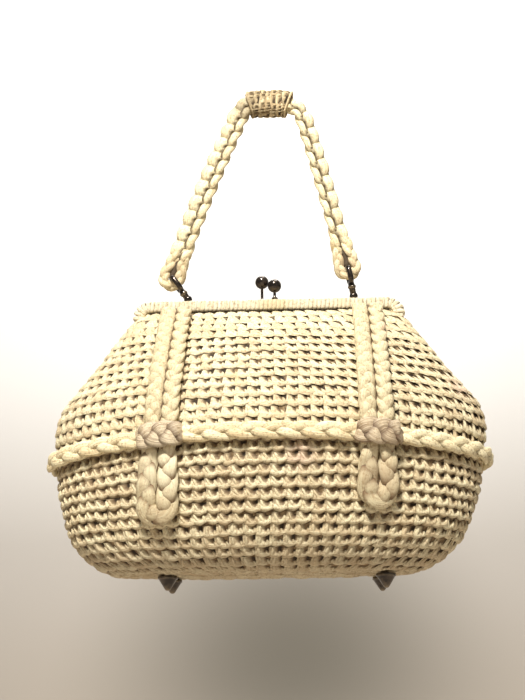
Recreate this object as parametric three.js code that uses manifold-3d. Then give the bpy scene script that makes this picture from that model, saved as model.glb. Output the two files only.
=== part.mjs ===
// A crocheted straw handbag with a snap frame, hanging by its plaited handle.
// Millimetres, +Z up, front towards -Y. The origin is the hang point, under the handle's sleeve.
import * as THREE from "three";
import { mergeVertices } from "three/addons/utils/BufferGeometryUtils.js";
import Module from "manifold-3d";

const wasm = await Module();
wasm.setup();

// Driving dimensions of the whole bag
const BODY_HEIGHT = 201.5;
const HANDLE_DROP = 162.5;
const WALL = 3;
const GAP = 0.4;

// Body rings from the base up. Squareness 2 is an ellipse, sag is how far the two ends of a ring
// hang below its middle, and lean is how far the ring stands off to the right.
const SECTIONS = [
  { height: 0, halfWidth: 102, halfDepth: 30, squareness: 2.6, sag: 0, lean: -5 },
  { height: 3.5, halfWidth: 112, halfDepth: 36.5, squareness: 2.5, sag: 0, lean: -5 },
  { height: 9.5, halfWidth: 121.5, halfDepth: 42.5, squareness: 2.4, sag: 0.3, lean: -4.5 },
  { height: 20, halfWidth: 132, halfDepth: 49.5, squareness: 2.3, sag: 1, lean: -4 },
  { height: 32.5, halfWidth: 138.7, halfDepth: 54.5, squareness: 2.2, sag: 2, lean: -3 },
  { height: 46, halfWidth: 143, halfDepth: 58.5, squareness: 2.1, sag: 3.5, lean: -2.5 },
  { height: 60, halfWidth: 147.3, halfDepth: 61.5, squareness: 2, sag: 5, lean: -2 },
  { height: 74, halfWidth: 149.5, halfDepth: 63.5, squareness: 1.9, sag: 6.5, lean: -1.5 },
  { height: 88, halfWidth: 151.5, halfDepth: 63.5, squareness: 1.85, sag: 7, lean: -1 },
  { height: 102, halfWidth: 154.5, halfDepth: 60.5, squareness: 1.85, sag: 6.5, lean: -0.5 },
  { height: 114, halfWidth: 154, halfDepth: 56.5, squareness: 1.85, sag: 6, lean: 0 },
  { height: 125, halfWidth: 149.5, halfDepth: 51.5, squareness: 1.9, sag: 5, lean: 0 },
  { height: 136, halfWidth: 140, halfDepth: 45.5, squareness: 1.95, sag: 4, lean: 0 },
  { height: 148, halfWidth: 130, halfDepth: 38.5, squareness: 2.1, sag: 3, lean: 0 },
  { height: 160, halfWidth: 121, halfDepth: 31, squareness: 2.3, sag: 2, lean: 0 },
  { height: 172, halfWidth: 112, halfDepth: 23, squareness: 2.7, sag: 1, lean: 0 },
  { height: 183, halfWidth: 101.5, halfDepth: 15, squareness: 3.2, sag: 0, lean: 0 },
  { height: 185.4, halfWidth: 92.1, halfDepth: 13.3, squareness: 3.6, sag: 0, lean: 0 },
  { height: 192, halfWidth: 92.1, halfDepth: 7, squareness: 6, sag: 0, lean: 0 },
];
const BODY_SIDES = 44;
const WALL_SAMPLES = 176;
const QUADRANT_SAMPLES = 400;
const TURN_HALVINGS = 40;
const MERGE_DISTANCE = 1e-4;

// Mouth frame: two bent bars side by side, pinned together inside the leg ends
const FRAME = {
  halfWidth: 101.5, barHeight: 9, depth: 5.5, legHeight: 15.7, corner: 13, innerCorner: 2, edge: 1.4,
};
const FRAME_SPLIT = 0.3;
const PIN = { radius: 1.4, halfLength: 3.2, clearance: 0.35, aboveLegEnd: 4.4, sides: 10 };

// Snap clasp: one ball on each half, crossing side by side
const BALL = { radius: 5.2, arcSteps: 7, sides: 12 };
const CLASP_POST = { radius: 1.05, flangeRadius: 2.4, flangeHeight: 0.9 };
const CLASPS = [
  { name: "clasp_back", x: -4.8, half: 1, ballHeight: 16.8 },
  { name: "clasp_front", x: 4.8, half: -1, ballHeight: 11.1 },
];

// Links: the foot stands on the back half, the eye is the wire's middle inside the handle's loop
const LINKS = [
  { name: "link_left", footX: -61, eyeX: -73.5, eyeHeight: 20.5 },
  { name: "link_right", footX: 64.5, eyeX: 60.5, eyeHeight: 26 },
];
const LINK = { wire: 1.6, halfWidth: 6.2, length: 12.6, squareness: 3, steps: 18, wireSides: 6 };
const LINK_FOOT = {
  flangeRadius: 2.7, flangeHeight: 1, ballRadius: 3.2, ballRise: 2.6,
  shank: 2.1, collar: 3, collarHeight: 1.3, arcSteps: 4, sides: 8,
};

// Handle: an endless plaited cord laid double, widening round the eye of each link
const CORD = { wide: 4.15, narrow: 3.7, halfThick: 4, pitch: 12, spacing: 8.8 };
const EYE_RADIUS = LINK.wire + GAP + CORD.wide;
const EYE_TAPER = 18;
const TURN_STEPS = 4;
const HANDLE_TOP = { leftX: -17.5, rightX: 27.5, leftCorner: 12, rightCorner: 19 };
const SLEEVE = {
  wall: 2.3, clearance: 0.8, leftEnd: 0.455, rightEnd: 0.56, boreOverrun: 0.02,
  steps: 9, sides: 12, squareness: 4,
};

// Straps: plaits laid double at either side of the front and the back, looser below the band
const STRAP_X = 70;
const STRAP_TOP = 190.5;
const STRAP_TURN_HEIGHT = { left: 41, right: 50 };
const STRAP_HALF_THICK = 3.25;
const STRAP_PITCH = 12;
const STRAP_NARROWING = 0.9;
const STRAP_ROWS = [
  { height: 41, spread: 7.4, halfWidth: 6.4, lean: -1.8 },
  { height: 60, spread: 7, halfWidth: 6, lean: -1.2 },
  { height: 74, spread: 5.6, halfWidth: 4.9, lean: -0.8 },
  { height: 85, spread: 4.9, halfWidth: 4.4, lean: -0.5 },
  { height: 102, spread: 5.3, halfWidth: 4.9, lean: 0 },
  { height: 190.5, spread: 5.2, halfWidth: 4.8, lean: 2.6 },
];

// Band round the widest part, and the keepers that arch over the straps there
const BAND = { height: 85, wide: 6.2, narrow: 5.5, halfThick: 3.2, pitch: 16 };
const KEEPER_HALF_THICK = 2.6;
const KEEPER_END_GAP = 1.8;
const KEEPER_ROWS = [
  { across: -15.6, lift: 3.1, halfHeight: 6.4 },
  { across: -13.6, lift: 4.6, halfHeight: 7.6 },
  { across: -11, lift: 9, halfHeight: 8.6 },
  { across: -5, lift: 10, halfHeight: 9.2 },
  { across: 5, lift: 10, halfHeight: 9.2 },
  { across: 11, lift: 9, halfHeight: 8.6 },
  { across: 13.6, lift: 4.6, halfHeight: 7.6 },
  { across: 15.6, lift: 3.1, halfHeight: 6.4 },
];

// Feet: turned metal cones under the base
const FOOT = {
  spread: 72.5, shift: 3, y: 13, baseRadius: 6.7, tipRadius: 2.8, height: 10, rim: 1.2, sides: 12,
};

const STRAW = new THREE.MeshStandardMaterial({ color: 0xe6d8b4, roughness: 0.85, metalness: 0 });
const WOUND_STRAW = new THREE.MeshStandardMaterial({ color: 0xefe4c8, roughness: 0.8, metalness: 0 });
const PLAITED_STRAW = new THREE.MeshStandardMaterial({ color: 0xead9b0, roughness: 0.75, metalness: 0 });
const BRONZE = new THREE.MeshStandardMaterial({ color: 0x4a4036, roughness: 0.35, metalness: 0.9 });

const FRAME_UNDERSIDE = BODY_HEIGHT - FRAME.barHeight;
const LEG_END = BODY_HEIGHT - FRAME.legHeight;
const HALF_Y = FRAME_SPLIT + FRAME.depth / 2;

const bag = new THREE.Group();
bag.position.z = -(BODY_HEIGHT + HANDLE_DROP);
const handbag = new THREE.Group();
handbag.add(bag);

function place(name, geometry, material) {
  const mesh = new THREE.Mesh(geometry, material);
  mesh.name = name;
  bag.add(mesh);
  return mesh;
}

// Closed solids from points and triangles

function signedVolume(points, triangles) {
  let six = 0;
  for (let i = 0; i < triangles.length; i += 3) {
    const [a, b, c] = [points[triangles[i]], points[triangles[i + 1]], points[triangles[i + 2]]];
    six += a.dot(new THREE.Vector3().crossVectors(b, c));
  }
  return six;
}

function solidFrom(points, triangles) {
  const outward = signedVolume(points, triangles) > 0;
  const index = outward ? triangles : [...triangles].reverse();
  const geometry = new THREE.BufferGeometry().setFromPoints(points);
  geometry.setIndex(index);
  geometry.computeVertexNormals();
  return geometry;
}

function toManifold(geometry) {
  const bare = geometry.clone();
  bare.deleteAttribute("normal");
  bare.deleteAttribute("uv");
  const merged = mergeVertices(bare, MERGE_DISTANCE);
  const vertProperties = new Float32Array(merged.attributes.position.array);
  const triVerts = new Uint32Array(merged.index.array);
  return new wasm.Manifold(new wasm.Mesh({ numProp: 3, vertProperties, triVerts }));
}

function fromManifold(solid) {
  const mesh = solid.getMesh();
  const geometry = new THREE.BufferGeometry();
  geometry.setAttribute("position", new THREE.BufferAttribute(new Float32Array(mesh.vertProperties), 3));
  geometry.setIndex([...mesh.triVerts]);
  geometry.computeVertexNormals();
  return geometry;
}

function blendRows(rows, key, at, name) {
  const last = rows.length - 1;
  let low = 0;
  while (low < last - 1 && rows[low + 1][key] < at) low += 1;
  const [a, b] = [rows[low], rows[low + 1]];
  const share = THREE.MathUtils.clamp((at - a[key]) / (b[key] - a[key]), 0, 1);
  return THREE.MathUtils.lerp(a[name], b[name], share);
}

function roundedPower(value, squareness) {
  return Math.sign(value) * Math.abs(value) ** (2 / squareness);
}

// Body: rings evenly stepped along their own length, so the wall's faces stay even

function quadrantPoints(row, steps) {
  const dense = [];
  for (let i = 0; i <= QUADRANT_SAMPLES; i += 1) {
    const angle = (i / QUADRANT_SAMPLES) * Math.PI / 2;
    const x = row.halfWidth * roundedPower(Math.sin(angle), row.squareness);
    const y = -row.halfDepth * roundedPower(Math.cos(angle), row.squareness);
    dense.push(new THREE.Vector2(x, y));
  }
  const lengths = [0];
  for (let i = 1; i < dense.length; i += 1) lengths.push(lengths[i - 1] + dense[i].distanceTo(dense[i - 1]));
  const total = lengths[lengths.length - 1];
  const even = [];
  let low = 0;
  for (let i = 0; i <= steps; i += 1) {
    const target = (i / steps) * total;
    while (low < QUADRANT_SAMPLES - 1 && lengths[low + 1] < target) low += 1;
    const share = (target - lengths[low]) / (lengths[low + 1] - lengths[low]);
    even.push(dense[low].clone().lerp(dense[low + 1], share));
  }
  return even;
}

function ringPoints(row, count) {
  const quarter = quadrantPoints(row, count / 4);
  const half = [...quarter, ...quarter.slice(0, -1).reverse().map((p) => new THREE.Vector2(p.x, -p.y))];
  const whole = [...half, ...half.slice(1, -1).reverse().map((p) => new THREE.Vector2(-p.x, p.y))];
  return whole.map((p) => {
    const z = row.height - row.sag * (p.x / row.halfWidth) ** 2;
    return new THREE.Vector3(p.x + row.lean, p.y, z);
  });
}

const wallRings = SECTIONS.map((row) => ringPoints(row, WALL_SAMPLES));

// A point of the outer wall: turn 0 is the middle of the front, a quarter is the right end
function wallPoint(turn, height) {
  const last = SECTIONS.length - 1;
  let low = 0;
  while (low < last - 1 && SECTIONS[low + 1].height < height) low += 1;
  const rise = (height - SECTIONS[low].height) / (SECTIONS[low + 1].height - SECTIONS[low].height);
  const place01 = ((turn % 1) + 1) % 1;
  const step = Math.floor(place01 * WALL_SAMPLES) % WALL_SAMPLES;
  const next = (step + 1) % WALL_SAMPLES;
  const share = place01 * WALL_SAMPLES - step;
  const under = wallRings[low][step].clone().lerp(wallRings[low][next], share);
  const over = wallRings[low + 1][step].clone().lerp(wallRings[low + 1][next], share);
  return under.lerp(over, rise);
}

function wallNormal(turn, height) {
  const [turnStep, heightStep] = [0.004, 1.5];
  const along = wallPoint(turn + turnStep, height).sub(wallPoint(turn - turnStep, height));
  const up = wallPoint(turn, height + heightStep).sub(wallPoint(turn, height - heightStep));
  return along.cross(up).normalize();
}

function frontTurn(x, height) {
  let [low, high] = [-0.25, 0.25];
  for (let i = 0; i < TURN_HALVINGS; i += 1) {
    const middle = (low + high) / 2;
    if (wallPoint(middle, height).x < x) low = middle;
    else high = middle;
  }
  return (low + high) / 2;
}

function bodyGeometry() {
  const rings = SECTIONS.map((row) => ringPoints(row, BODY_SIDES));
  const outer = rings.flat();
  const baseLean = SECTIONS[0].lean;
  const baseCentre = new THREE.Vector3(baseLean, 0, SECTIONS[0].height);
  const points = [...outer, baseCentre];
  const triangles = [];
  const wallFaces = (start, turned) => {
    for (let i = 0; i < rings.length - 1; i += 1) {
      for (let j = 0; j < BODY_SIDES; j += 1) {
        const next = (j + 1) % BODY_SIDES;
        const [a, b] = [start + i * BODY_SIDES + j, start + i * BODY_SIDES + next];
        const [c, d] = [b + BODY_SIDES, a + BODY_SIDES];
        triangles.push(...(turned ? [a, c, b, a, d, c] : [a, b, c, a, c, d]));
      }
    }
  };
  const baseFaces = (start, centre, turned) => {
    for (let j = 0; j < BODY_SIDES; j += 1) {
      const [a, b] = [start + j, start + (j + 1) % BODY_SIDES];
      triangles.push(...(turned ? [centre, a, b] : [centre, b, a]));
    }
  };
  wallFaces(0, false);
  baseFaces(0, outer.length, false);
  const skin = new THREE.BufferGeometry().setFromPoints(points);
  skin.setIndex([...triangles]);
  skin.computeVertexNormals();
  const normals = skin.attributes.normal;
  const innerStart = points.length;
  const rimStart = (rings.length - 1) * BODY_SIDES;
  const inner = points.map((p, i) => {
    const inset = new THREE.Vector3().fromBufferAttribute(normals, i).multiplyScalar(-WALL);
    if (i >= rimStart && i < outer.length) inset.z = 0;
    return p.clone().add(inset);
  });
  points.push(...inner);
  wallFaces(innerStart, true);
  baseFaces(innerStart, innerStart + outer.length, true);
  for (let j = 0; j < BODY_SIDES; j += 1) {
    const [a, b] = [rimStart + j, rimStart + (j + 1) % BODY_SIDES];
    triangles.push(a, b, innerStart + b, a, innerStart + b, innerStart + a);
  }
  return solidFrom(points, triangles);
}

place("body", bodyGeometry(), STRAW);

// Frame halves: the bent bar's outline, thickened, with blind holes for the hinge pins

function frameOutline() {
  const { halfWidth, barHeight, corner, innerCorner } = FRAME;
  const innerX = halfWidth - barHeight;
  const shape = new THREE.Shape();
  shape.moveTo(-halfWidth, LEG_END);
  shape.lineTo(-innerX, LEG_END);
  shape.lineTo(-innerX, FRAME_UNDERSIDE - innerCorner);
  shape.absarc(-innerX + innerCorner, FRAME_UNDERSIDE - innerCorner, innerCorner, Math.PI, Math.PI / 2, true);
  shape.lineTo(innerX - innerCorner, FRAME_UNDERSIDE);
  shape.absarc(innerX - innerCorner, FRAME_UNDERSIDE - innerCorner, innerCorner, Math.PI / 2, 0, true);
  shape.lineTo(innerX, LEG_END);
  shape.lineTo(halfWidth, LEG_END);
  shape.lineTo(halfWidth, BODY_HEIGHT - corner);
  shape.absarc(halfWidth - corner, BODY_HEIGHT - corner, corner, 0, Math.PI / 2, false);
  shape.lineTo(-halfWidth + corner, BODY_HEIGHT);
  shape.absarc(-halfWidth + corner, BODY_HEIGHT - corner, corner, Math.PI / 2, Math.PI, false);
  return shape;
}

const PIN_X = FRAME.halfWidth - FRAME.barHeight / 2;
const PIN_HEIGHT = LEG_END + PIN.aboveLegEnd;

function pinCylinder(radius, halfLength, side) {
  const pin = new THREE.CylinderGeometry(radius, radius, 2 * halfLength, PIN.sides);
  pin.translate(side * PIN_X, 0, PIN_HEIGHT);
  return pin;
}

function frameHalf(half) {
  const bar = new THREE.ExtrudeGeometry(frameOutline(), {
    depth: FRAME.depth - 2 * FRAME.edge,
    curveSegments: 4,
    bevelEnabled: true,
    bevelThickness: FRAME.edge,
    bevelSize: FRAME.edge,
    bevelOffset: -FRAME.edge,
    bevelSegments: 1,
  });
  bar.translate(0, 0, FRAME.edge - FRAME.depth / 2);
  bar.rotateX(Math.PI / 2);
  bar.translate(0, half * HALF_Y, 0);
  let solid = toManifold(bar);
  for (const side of [-1, 1]) {
    const hole = pinCylinder(PIN.radius + PIN.clearance, PIN.halfLength + PIN.clearance, side);
    solid = solid.subtract(toManifold(hole));
  }
  return fromManifold(solid);
}

place("frame_front", frameHalf(-1), WOUND_STRAW);
place("frame_back", frameHalf(1), WOUND_STRAW);
place("hinge_pin_left", pinCylinder(PIN.radius, PIN.halfLength, -1), BRONZE);
place("hinge_pin_right", pinCylinder(PIN.radius, PIN.halfLength, 1), BRONZE);

// Snap clasp: a flanged post with a ball, turned in one piece

function turned(profile, sides) {
  const lathe = new THREE.LatheGeometry(profile.map(([r, z]) => new THREE.Vector2(r, z)), sides);
  return lathe.rotateX(Math.PI / 2);
}

function ballProfile(radius, centre, neck, steps) {
  const start = Math.asin(neck / radius);
  const arc = [];
  for (let i = 0; i <= steps; i += 1) {
    const angle = THREE.MathUtils.lerp(start, Math.PI, i / steps);
    arc.push([i === steps ? 0 : radius * Math.sin(angle), centre - radius * Math.cos(angle)]);
  }
  return arc;
}

for (const clasp of CLASPS) {
  const { radius, flangeRadius, flangeHeight } = CLASP_POST;
  const profile = [
    [0, 0], [flangeRadius, 0], [flangeRadius, flangeHeight], [radius, flangeHeight],
    ...ballProfile(BALL.radius, clasp.ballHeight - GAP, radius, BALL.arcSteps),
  ];
  const mesh = place(clasp.name, turned(profile, BALL.sides), BRONZE);
  mesh.position.set(clasp.x, clasp.half * HALF_Y, BODY_HEIGHT + GAP);
}

// Sweeps: a section carried along stations, each with its own two half sizes

function sectionPoint(station, angle, squareness, fill) {
  const across = roundedPower(Math.cos(angle), squareness) * station.halfWidth;
  const out = roundedPower(Math.sin(angle), squareness) * station.halfThick * fill;
  return station.at.clone().addScaledVector(station.across, across).addScaledVector(station.out, out);
}

function sweep(stations, { closed = false, sides = 6, squareness = 2 } = {}) {
  const fill = 1 / roundedPower(Math.sin(Math.PI * Math.floor(sides / 4 + 0.5) * 2 / sides), squareness);
  const points = [];
  for (const station of stations) {
    for (let k = 0; k < sides; k += 1) {
      points.push(sectionPoint(station, (2 * Math.PI * k) / sides, squareness, fill));
    }
  }
  const triangles = [];
  const count = stations.length;
  for (let i = 0; i < (closed ? count : count - 1); i += 1) {
    for (let k = 0; k < sides; k += 1) {
      const next = (k + 1) % sides;
      const [a, b] = [i * sides + k, i * sides + next];
      const over = ((i + 1) % count) * sides;
      triangles.push(a, b, over + next, a, over + next, over + k);
    }
  }
  if (!closed) {
    for (const [start, flip] of [[0, true], [(count - 1) * sides, false]]) {
      for (let k = 1; k < sides - 1; k += 1) {
        triangles.push(...(flip ? [start, start + k + 1, start + k] : [start, start + k, start + k + 1]));
      }
    }
  }
  return solidFrom(points, triangles);
}

// Links: a wire ring round the handle's loop, a collared shank and a ball on a flange

const UP = new THREE.Vector3(0, 0, 1);

function linkGeometry(link) {
  const foot = new THREE.Vector3(link.footX, HALF_Y, BODY_HEIGHT + GAP);
  const eye = new THREE.Vector3(link.eyeX, 0, BODY_HEIGHT + link.eyeHeight);
  const ballCentre = foot.clone().addScaledVector(UP, LINK_FOOT.flangeHeight + LINK_FOOT.ballRise);
  const axis = eye.clone().sub(ballCentre).setY(0).normalize();
  const sideways = new THREE.Vector3(0, 1, 0);
  const normal = new THREE.Vector3().crossVectors(axis, sideways);
  const centre = eye.clone().addScaledVector(axis, -LINK.length / 2);
  const stations = [];
  for (let i = 0; i < LINK.steps; i += 1) {
    const angle = (2 * Math.PI * i) / LINK.steps;
    const along = roundedPower(Math.cos(angle), LINK.squareness) * LINK.length / 2;
    const side = roundedPower(Math.sin(angle), LINK.squareness) * LINK.halfWidth;
    const at = centre.clone().addScaledVector(axis, along).addScaledVector(sideways, side);
    const across = at.clone().sub(centre).normalize();
    stations.push({ at, across, out: normal, halfWidth: LINK.wire, halfThick: LINK.wire });
  }
  let solid = toManifold(sweep(stations, { closed: true, sides: LINK.wireSides }));
  const ringFoot = centre.clone().addScaledVector(axis, -LINK.length / 2);
  const shankAxis = ringFoot.clone().sub(ballCentre).normalize();
  const lean = new THREE.Quaternion().setFromUnitVectors(UP, shankAxis);
  const shankLength = ringFoot.distanceTo(ballCentre);
  const { shank, collar, collarHeight, ballRadius, flangeRadius, flangeHeight, arcSteps, sides } = LINK_FOOT;
  const collarStart = shankLength - LINK.wire - 2 * collarHeight;
  const shankProfile = [
    [0, 0], [shank, 0], [shank, collarStart], [collar, collarStart + collarHeight / 2],
    [collar, collarStart + 1.5 * collarHeight], [shank, collarStart + 2 * collarHeight],
    [shank, shankLength], [0, shankLength],
  ];
  const shankSolid = turned(shankProfile, sides).applyQuaternion(lean).translate(...ballCentre);
  const footProfile = [
    [0, 0], [flangeRadius, 0], [flangeRadius, flangeHeight], [shank, flangeHeight],
    ...ballProfile(ballRadius, ballCentre.z - foot.z, shank, arcSteps),
  ];
  const footSolid = turned(footProfile, sides).translate(...foot);
  solid = solid.add(toManifold(shankSolid)).add(toManifold(footSolid));
  return fromManifold(solid);
}

for (const link of LINKS) place(link.name, linkGeometry(link), BRONZE);

// Handle: the middle line runs up from the left eye, over the top and down to the right eye

const [LEFT_LINK, RIGHT_LINK] = LINKS;
const SLEEVE_HALF_WIDTH = CORD.spacing / 2 + CORD.wide + SLEEVE.clearance + SLEEVE.wall;
const HANDLE_TOP_HEIGHT = BODY_HEIGHT + HANDLE_DROP + SLEEVE_HALF_WIDTH;

function filletCorner(path, before, corner, after, radius) {
  const back = before.clone().sub(corner).normalize();
  const ahead = after.clone().sub(corner).normalize();
  const halfAngle = Math.acos(back.dot(ahead)) / 2;
  const reach = radius / Math.tan(halfAngle);
  const start = corner.clone().addScaledVector(back, reach);
  const toCentre = back.clone().add(ahead).normalize();
  const centre = corner.clone().addScaledVector(toCentre, radius / Math.sin(halfAngle));
  const end = corner.clone().addScaledVector(ahead, reach);
  path.lineTo(start.x, start.y);
  path.absarc(
    centre.x, centre.y, radius,
    Math.atan2(start.y - centre.y, start.x - centre.x),
    Math.atan2(end.y - centre.y, end.x - centre.x),
    true,
  );
}

function handleLine() {
  const left = new THREE.Vector2(LEFT_LINK.eyeX, BODY_HEIGHT + LEFT_LINK.eyeHeight);
  const right = new THREE.Vector2(RIGHT_LINK.eyeX, BODY_HEIGHT + RIGHT_LINK.eyeHeight);
  const topLeft = new THREE.Vector2(HANDLE_TOP.leftX, HANDLE_TOP_HEIGHT);
  const topRight = new THREE.Vector2(HANDLE_TOP.rightX, HANDLE_TOP_HEIGHT);
  const path = new THREE.Path();
  path.moveTo(left.x, left.y);
  filletCorner(path, left, topLeft, topRight, HANDLE_TOP.leftCorner);
  filletCorner(path, topLeft, topRight, right, HANDLE_TOP.rightCorner);
  path.lineTo(right.x, right.y);
  return path;
}

const HANDLE_LINE = handleLine();
const HANDLE_LENGTH = HANDLE_LINE.getLength();
const TOWARDS_BACK = new THREE.Vector3(0, 1, 0);

function handleStation(share, offset, halfWidth, halfThick) {
  const point = HANDLE_LINE.getPointAt(share);
  const tangent = HANDLE_LINE.getTangentAt(share);
  const across = new THREE.Vector3(-tangent.y, 0, tangent.x);
  const at = new THREE.Vector3(point.x, 0, point.y).addScaledVector(across, offset);
  return { at, across, out: TOWARDS_BACK, halfWidth, halfThick };
}

function cordHalfWidth(step) {
  return step % 2 === 0 ? CORD.wide : CORD.narrow;
}

function loopOffset(share) {
  const fromEnd = Math.min(share, 1 - share) * HANDLE_LENGTH;
  const taper = THREE.MathUtils.smoothstep(fromEnd, 0, EYE_TAPER);
  return THREE.MathUtils.lerp(EYE_RADIUS, CORD.spacing / 2, taper);
}

function eyeTurn(share, fromOffset) {
  const tangent = HANDLE_LINE.getTangentAt(share);
  const outOfEnd = new THREE.Vector3(tangent.x, 0, tangent.y).multiplyScalar(share === 1 ? 1 : -1);
  const point = HANDLE_LINE.getPointAt(share);
  const eye = new THREE.Vector3(point.x, 0, point.y);
  const start = new THREE.Vector3(-tangent.y, 0, tangent.x).multiplyScalar(fromOffset);
  const stations = [];
  for (let i = 1; i < TURN_STEPS; i += 1) {
    const angle = (Math.PI * i) / TURN_STEPS;
    const across = start.clone().multiplyScalar(Math.cos(angle)).addScaledVector(outOfEnd, Math.sin(angle));
    const at = eye.clone().addScaledVector(across, EYE_RADIUS);
    stations.push({ at, across, out: TOWARDS_BACK, halfWidth: CORD.wide, halfThick: CORD.halfThick });
  }
  return stations;
}

function handleLoop() {
  const steps = 2 * Math.round(HANDLE_LENGTH / CORD.pitch);
  const outer = [];
  const inner = [];
  for (let i = 0; i <= steps; i += 1) {
    const share = i / steps;
    outer.push(handleStation(share, loopOffset(share), cordHalfWidth(i), CORD.halfThick));
    inner.push(handleStation(share, -loopOffset(share), cordHalfWidth(i), CORD.halfThick));
  }
  const facingIn = inner.reverse().map((s) => ({ ...s, across: s.across.clone().negate() }));
  return sweep([...outer, ...eyeTurn(1, 1), ...facingIn, ...eyeTurn(0, -1)], { closed: true });
}

function handleSleeve() {
  const sleeveTube = (halfWidth, halfThick, overrun) => {
    const stations = [];
    const [start, end] = [SLEEVE.leftEnd - overrun, SLEEVE.rightEnd + overrun];
    for (let i = 0; i <= SLEEVE.steps; i += 1) {
      const share = THREE.MathUtils.lerp(start, end, i / SLEEVE.steps);
      stations.push(handleStation(share, 0, halfWidth, halfThick));
    }
    return toManifold(sweep(stations, { sides: SLEEVE.sides, squareness: SLEEVE.squareness }));
  };
  const boreThick = CORD.halfThick + SLEEVE.clearance;
  const outer = sleeveTube(SLEEVE_HALF_WIDTH, boreThick + SLEEVE.wall, 0);
  const bore = sleeveTube(SLEEVE_HALF_WIDTH - SLEEVE.wall, boreThick, SLEEVE.boreOverrun);
  return fromManifold(outer.subtract(bore));
}

place("handle_loop", handleLoop(), PLAITED_STRAW);
place("handle_sleeve", handleSleeve(), STRAW);

// Trim on the wall: stations stand off the outer wall by their lift

function wallStation(x, height, lift, facing) {
  const turn = frontTurn(x, height);
  const out = wallNormal(turn, height);
  const at = wallPoint(turn, height).addScaledVector(out, lift);
  if (facing > 0) {
    at.y *= -1;
    out.y *= -1;
  }
  return { at, out };
}

function addAcross(stations) {
  const last = stations.length - 1;
  for (let i = 0; i <= last; i += 1) {
    const along = stations[Math.min(i + 1, last)].at.clone().sub(stations[Math.max(i - 1, 0)].at);
    stations[i].across = new THREE.Vector3().crossVectors(along, stations[i].out).normalize();
    stations[i].out.crossVectors(stations[i].across, along).normalize();
  }
  return stations;
}

function strapGeometry(x, facing, turnHeight) {
  const strapSize = (height, name) => blendRows(STRAP_ROWS, "height", height, name);
  const runSteps = 2 * Math.round((STRAP_TOP - turnHeight) / STRAP_PITCH);
  const station = (offset, height, step) => {
    const seat = wallStation(x + strapSize(height, "lean") + offset, height, GAP + STRAP_HALF_THICK, facing);
    const halfWidth = strapSize(height, "halfWidth") * (step % 2 === 0 ? 1 : STRAP_NARROWING);
    return { ...seat, halfWidth, halfThick: STRAP_HALF_THICK };
  };
  const down = [];
  const up = [];
  for (let i = 0; i <= runSteps; i += 1) {
    const height = THREE.MathUtils.lerp(STRAP_TOP, turnHeight, i / runSteps);
    const spread = strapSize(height, "spread");
    down.push(station(-spread, height, i));
    up.unshift(station(spread, height, i));
  }
  const turn = [];
  const radius = strapSize(turnHeight, "spread");
  for (let i = 1; i < TURN_STEPS; i += 1) {
    const angle = (Math.PI * i) / TURN_STEPS;
    turn.push(station(-radius * Math.cos(angle), turnHeight - radius * Math.sin(angle), 0));
  }
  return sweep(addAcross([...down, ...turn, ...up]));
}

function keeperGeometry(x, facing) {
  const stations = KEEPER_ROWS.map((row) => ({
    ...wallStation(x + row.across, BAND.height, row.lift, facing),
    halfWidth: row.halfHeight,
    halfThick: KEEPER_HALF_THICK,
  }));
  return sweep(addAcross(stations));
}

function bandGeometry(startTurn, endTurn) {
  const length = (endTurn - startTurn) * wallRingLength(BAND.height);
  const steps = 2 * Math.round(length / BAND.pitch);
  const stations = [];
  for (let i = 0; i <= steps; i += 1) {
    const turn = THREE.MathUtils.lerp(startTurn, endTurn, i / steps);
    const out = wallNormal(turn, BAND.height);
    const at = wallPoint(turn, BAND.height).addScaledVector(out, GAP + BAND.halfThick);
    const halfWidth = i % 2 === 0 ? BAND.wide : BAND.narrow;
    stations.push({ at, out, halfWidth, halfThick: BAND.halfThick });
  }
  return sweep(addAcross(stations));
}

function wallRingLength(height) {
  let length = 0;
  for (let i = 0; i < WALL_SAMPLES; i += 1) {
    length += wallPoint(i / WALL_SAMPLES, height).distanceTo(wallPoint((i + 1) / WALL_SAMPLES, height));
  }
  return length;
}

for (const [facing, face] of [[-1, "front"], [1, "back"]]) {
  for (const [side, hand] of [[-1, "left"], [1, "right"]]) {
    place(`strap_${face}_${hand}`, strapGeometry(side * STRAP_X, facing, STRAP_TURN_HEIGHT[hand]), PLAITED_STRAW);
    place(`keeper_${face}_${hand}`, keeperGeometry(side * STRAP_X, facing), PLAITED_STRAW);
  }
}

const KEEPER_REACH = KEEPER_ROWS[KEEPER_ROWS.length - 1].across + KEEPER_END_GAP;
const bandTurn = (x) => frontTurn(x, BAND.height);
const LEFT_INSIDE = bandTurn(-STRAP_X + KEEPER_REACH);
const RIGHT_INSIDE = bandTurn(STRAP_X - KEEPER_REACH);
const LEFT_OUTSIDE = bandTurn(-STRAP_X - KEEPER_REACH);
const RIGHT_OUTSIDE = bandTurn(STRAP_X + KEEPER_REACH);
const HALF_TURN = 0.5;
place("band_front", bandGeometry(LEFT_INSIDE, RIGHT_INSIDE), PLAITED_STRAW);
place("band_right", bandGeometry(RIGHT_OUTSIDE, HALF_TURN - RIGHT_OUTSIDE), PLAITED_STRAW);
place("band_back", bandGeometry(HALF_TURN - RIGHT_INSIDE, HALF_TURN - LEFT_INSIDE), PLAITED_STRAW);
place("band_left", bandGeometry(-HALF_TURN - LEFT_OUTSIDE, LEFT_OUTSIDE), PLAITED_STRAW);

// Feet: a rimmed cone with a flat tip

for (const [facing, face] of [[-1, "front"], [1, "back"]]) {
  for (const [side, hand] of [[-1, "left"], [1, "right"]]) {
    const { baseRadius, tipRadius, height, rim, sides } = FOOT;
    const profile = [[0, -height], [tipRadius, -height], [baseRadius, -rim], [baseRadius, -GAP], [0, -GAP]];
    const mesh = place(`foot_${face}_${hand}`, turned(profile, sides), BRONZE);
    mesh.position.set(side * FOOT.spread + FOOT.shift, facing * FOOT.y, 0);
  }
}

export default handbag;
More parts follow.
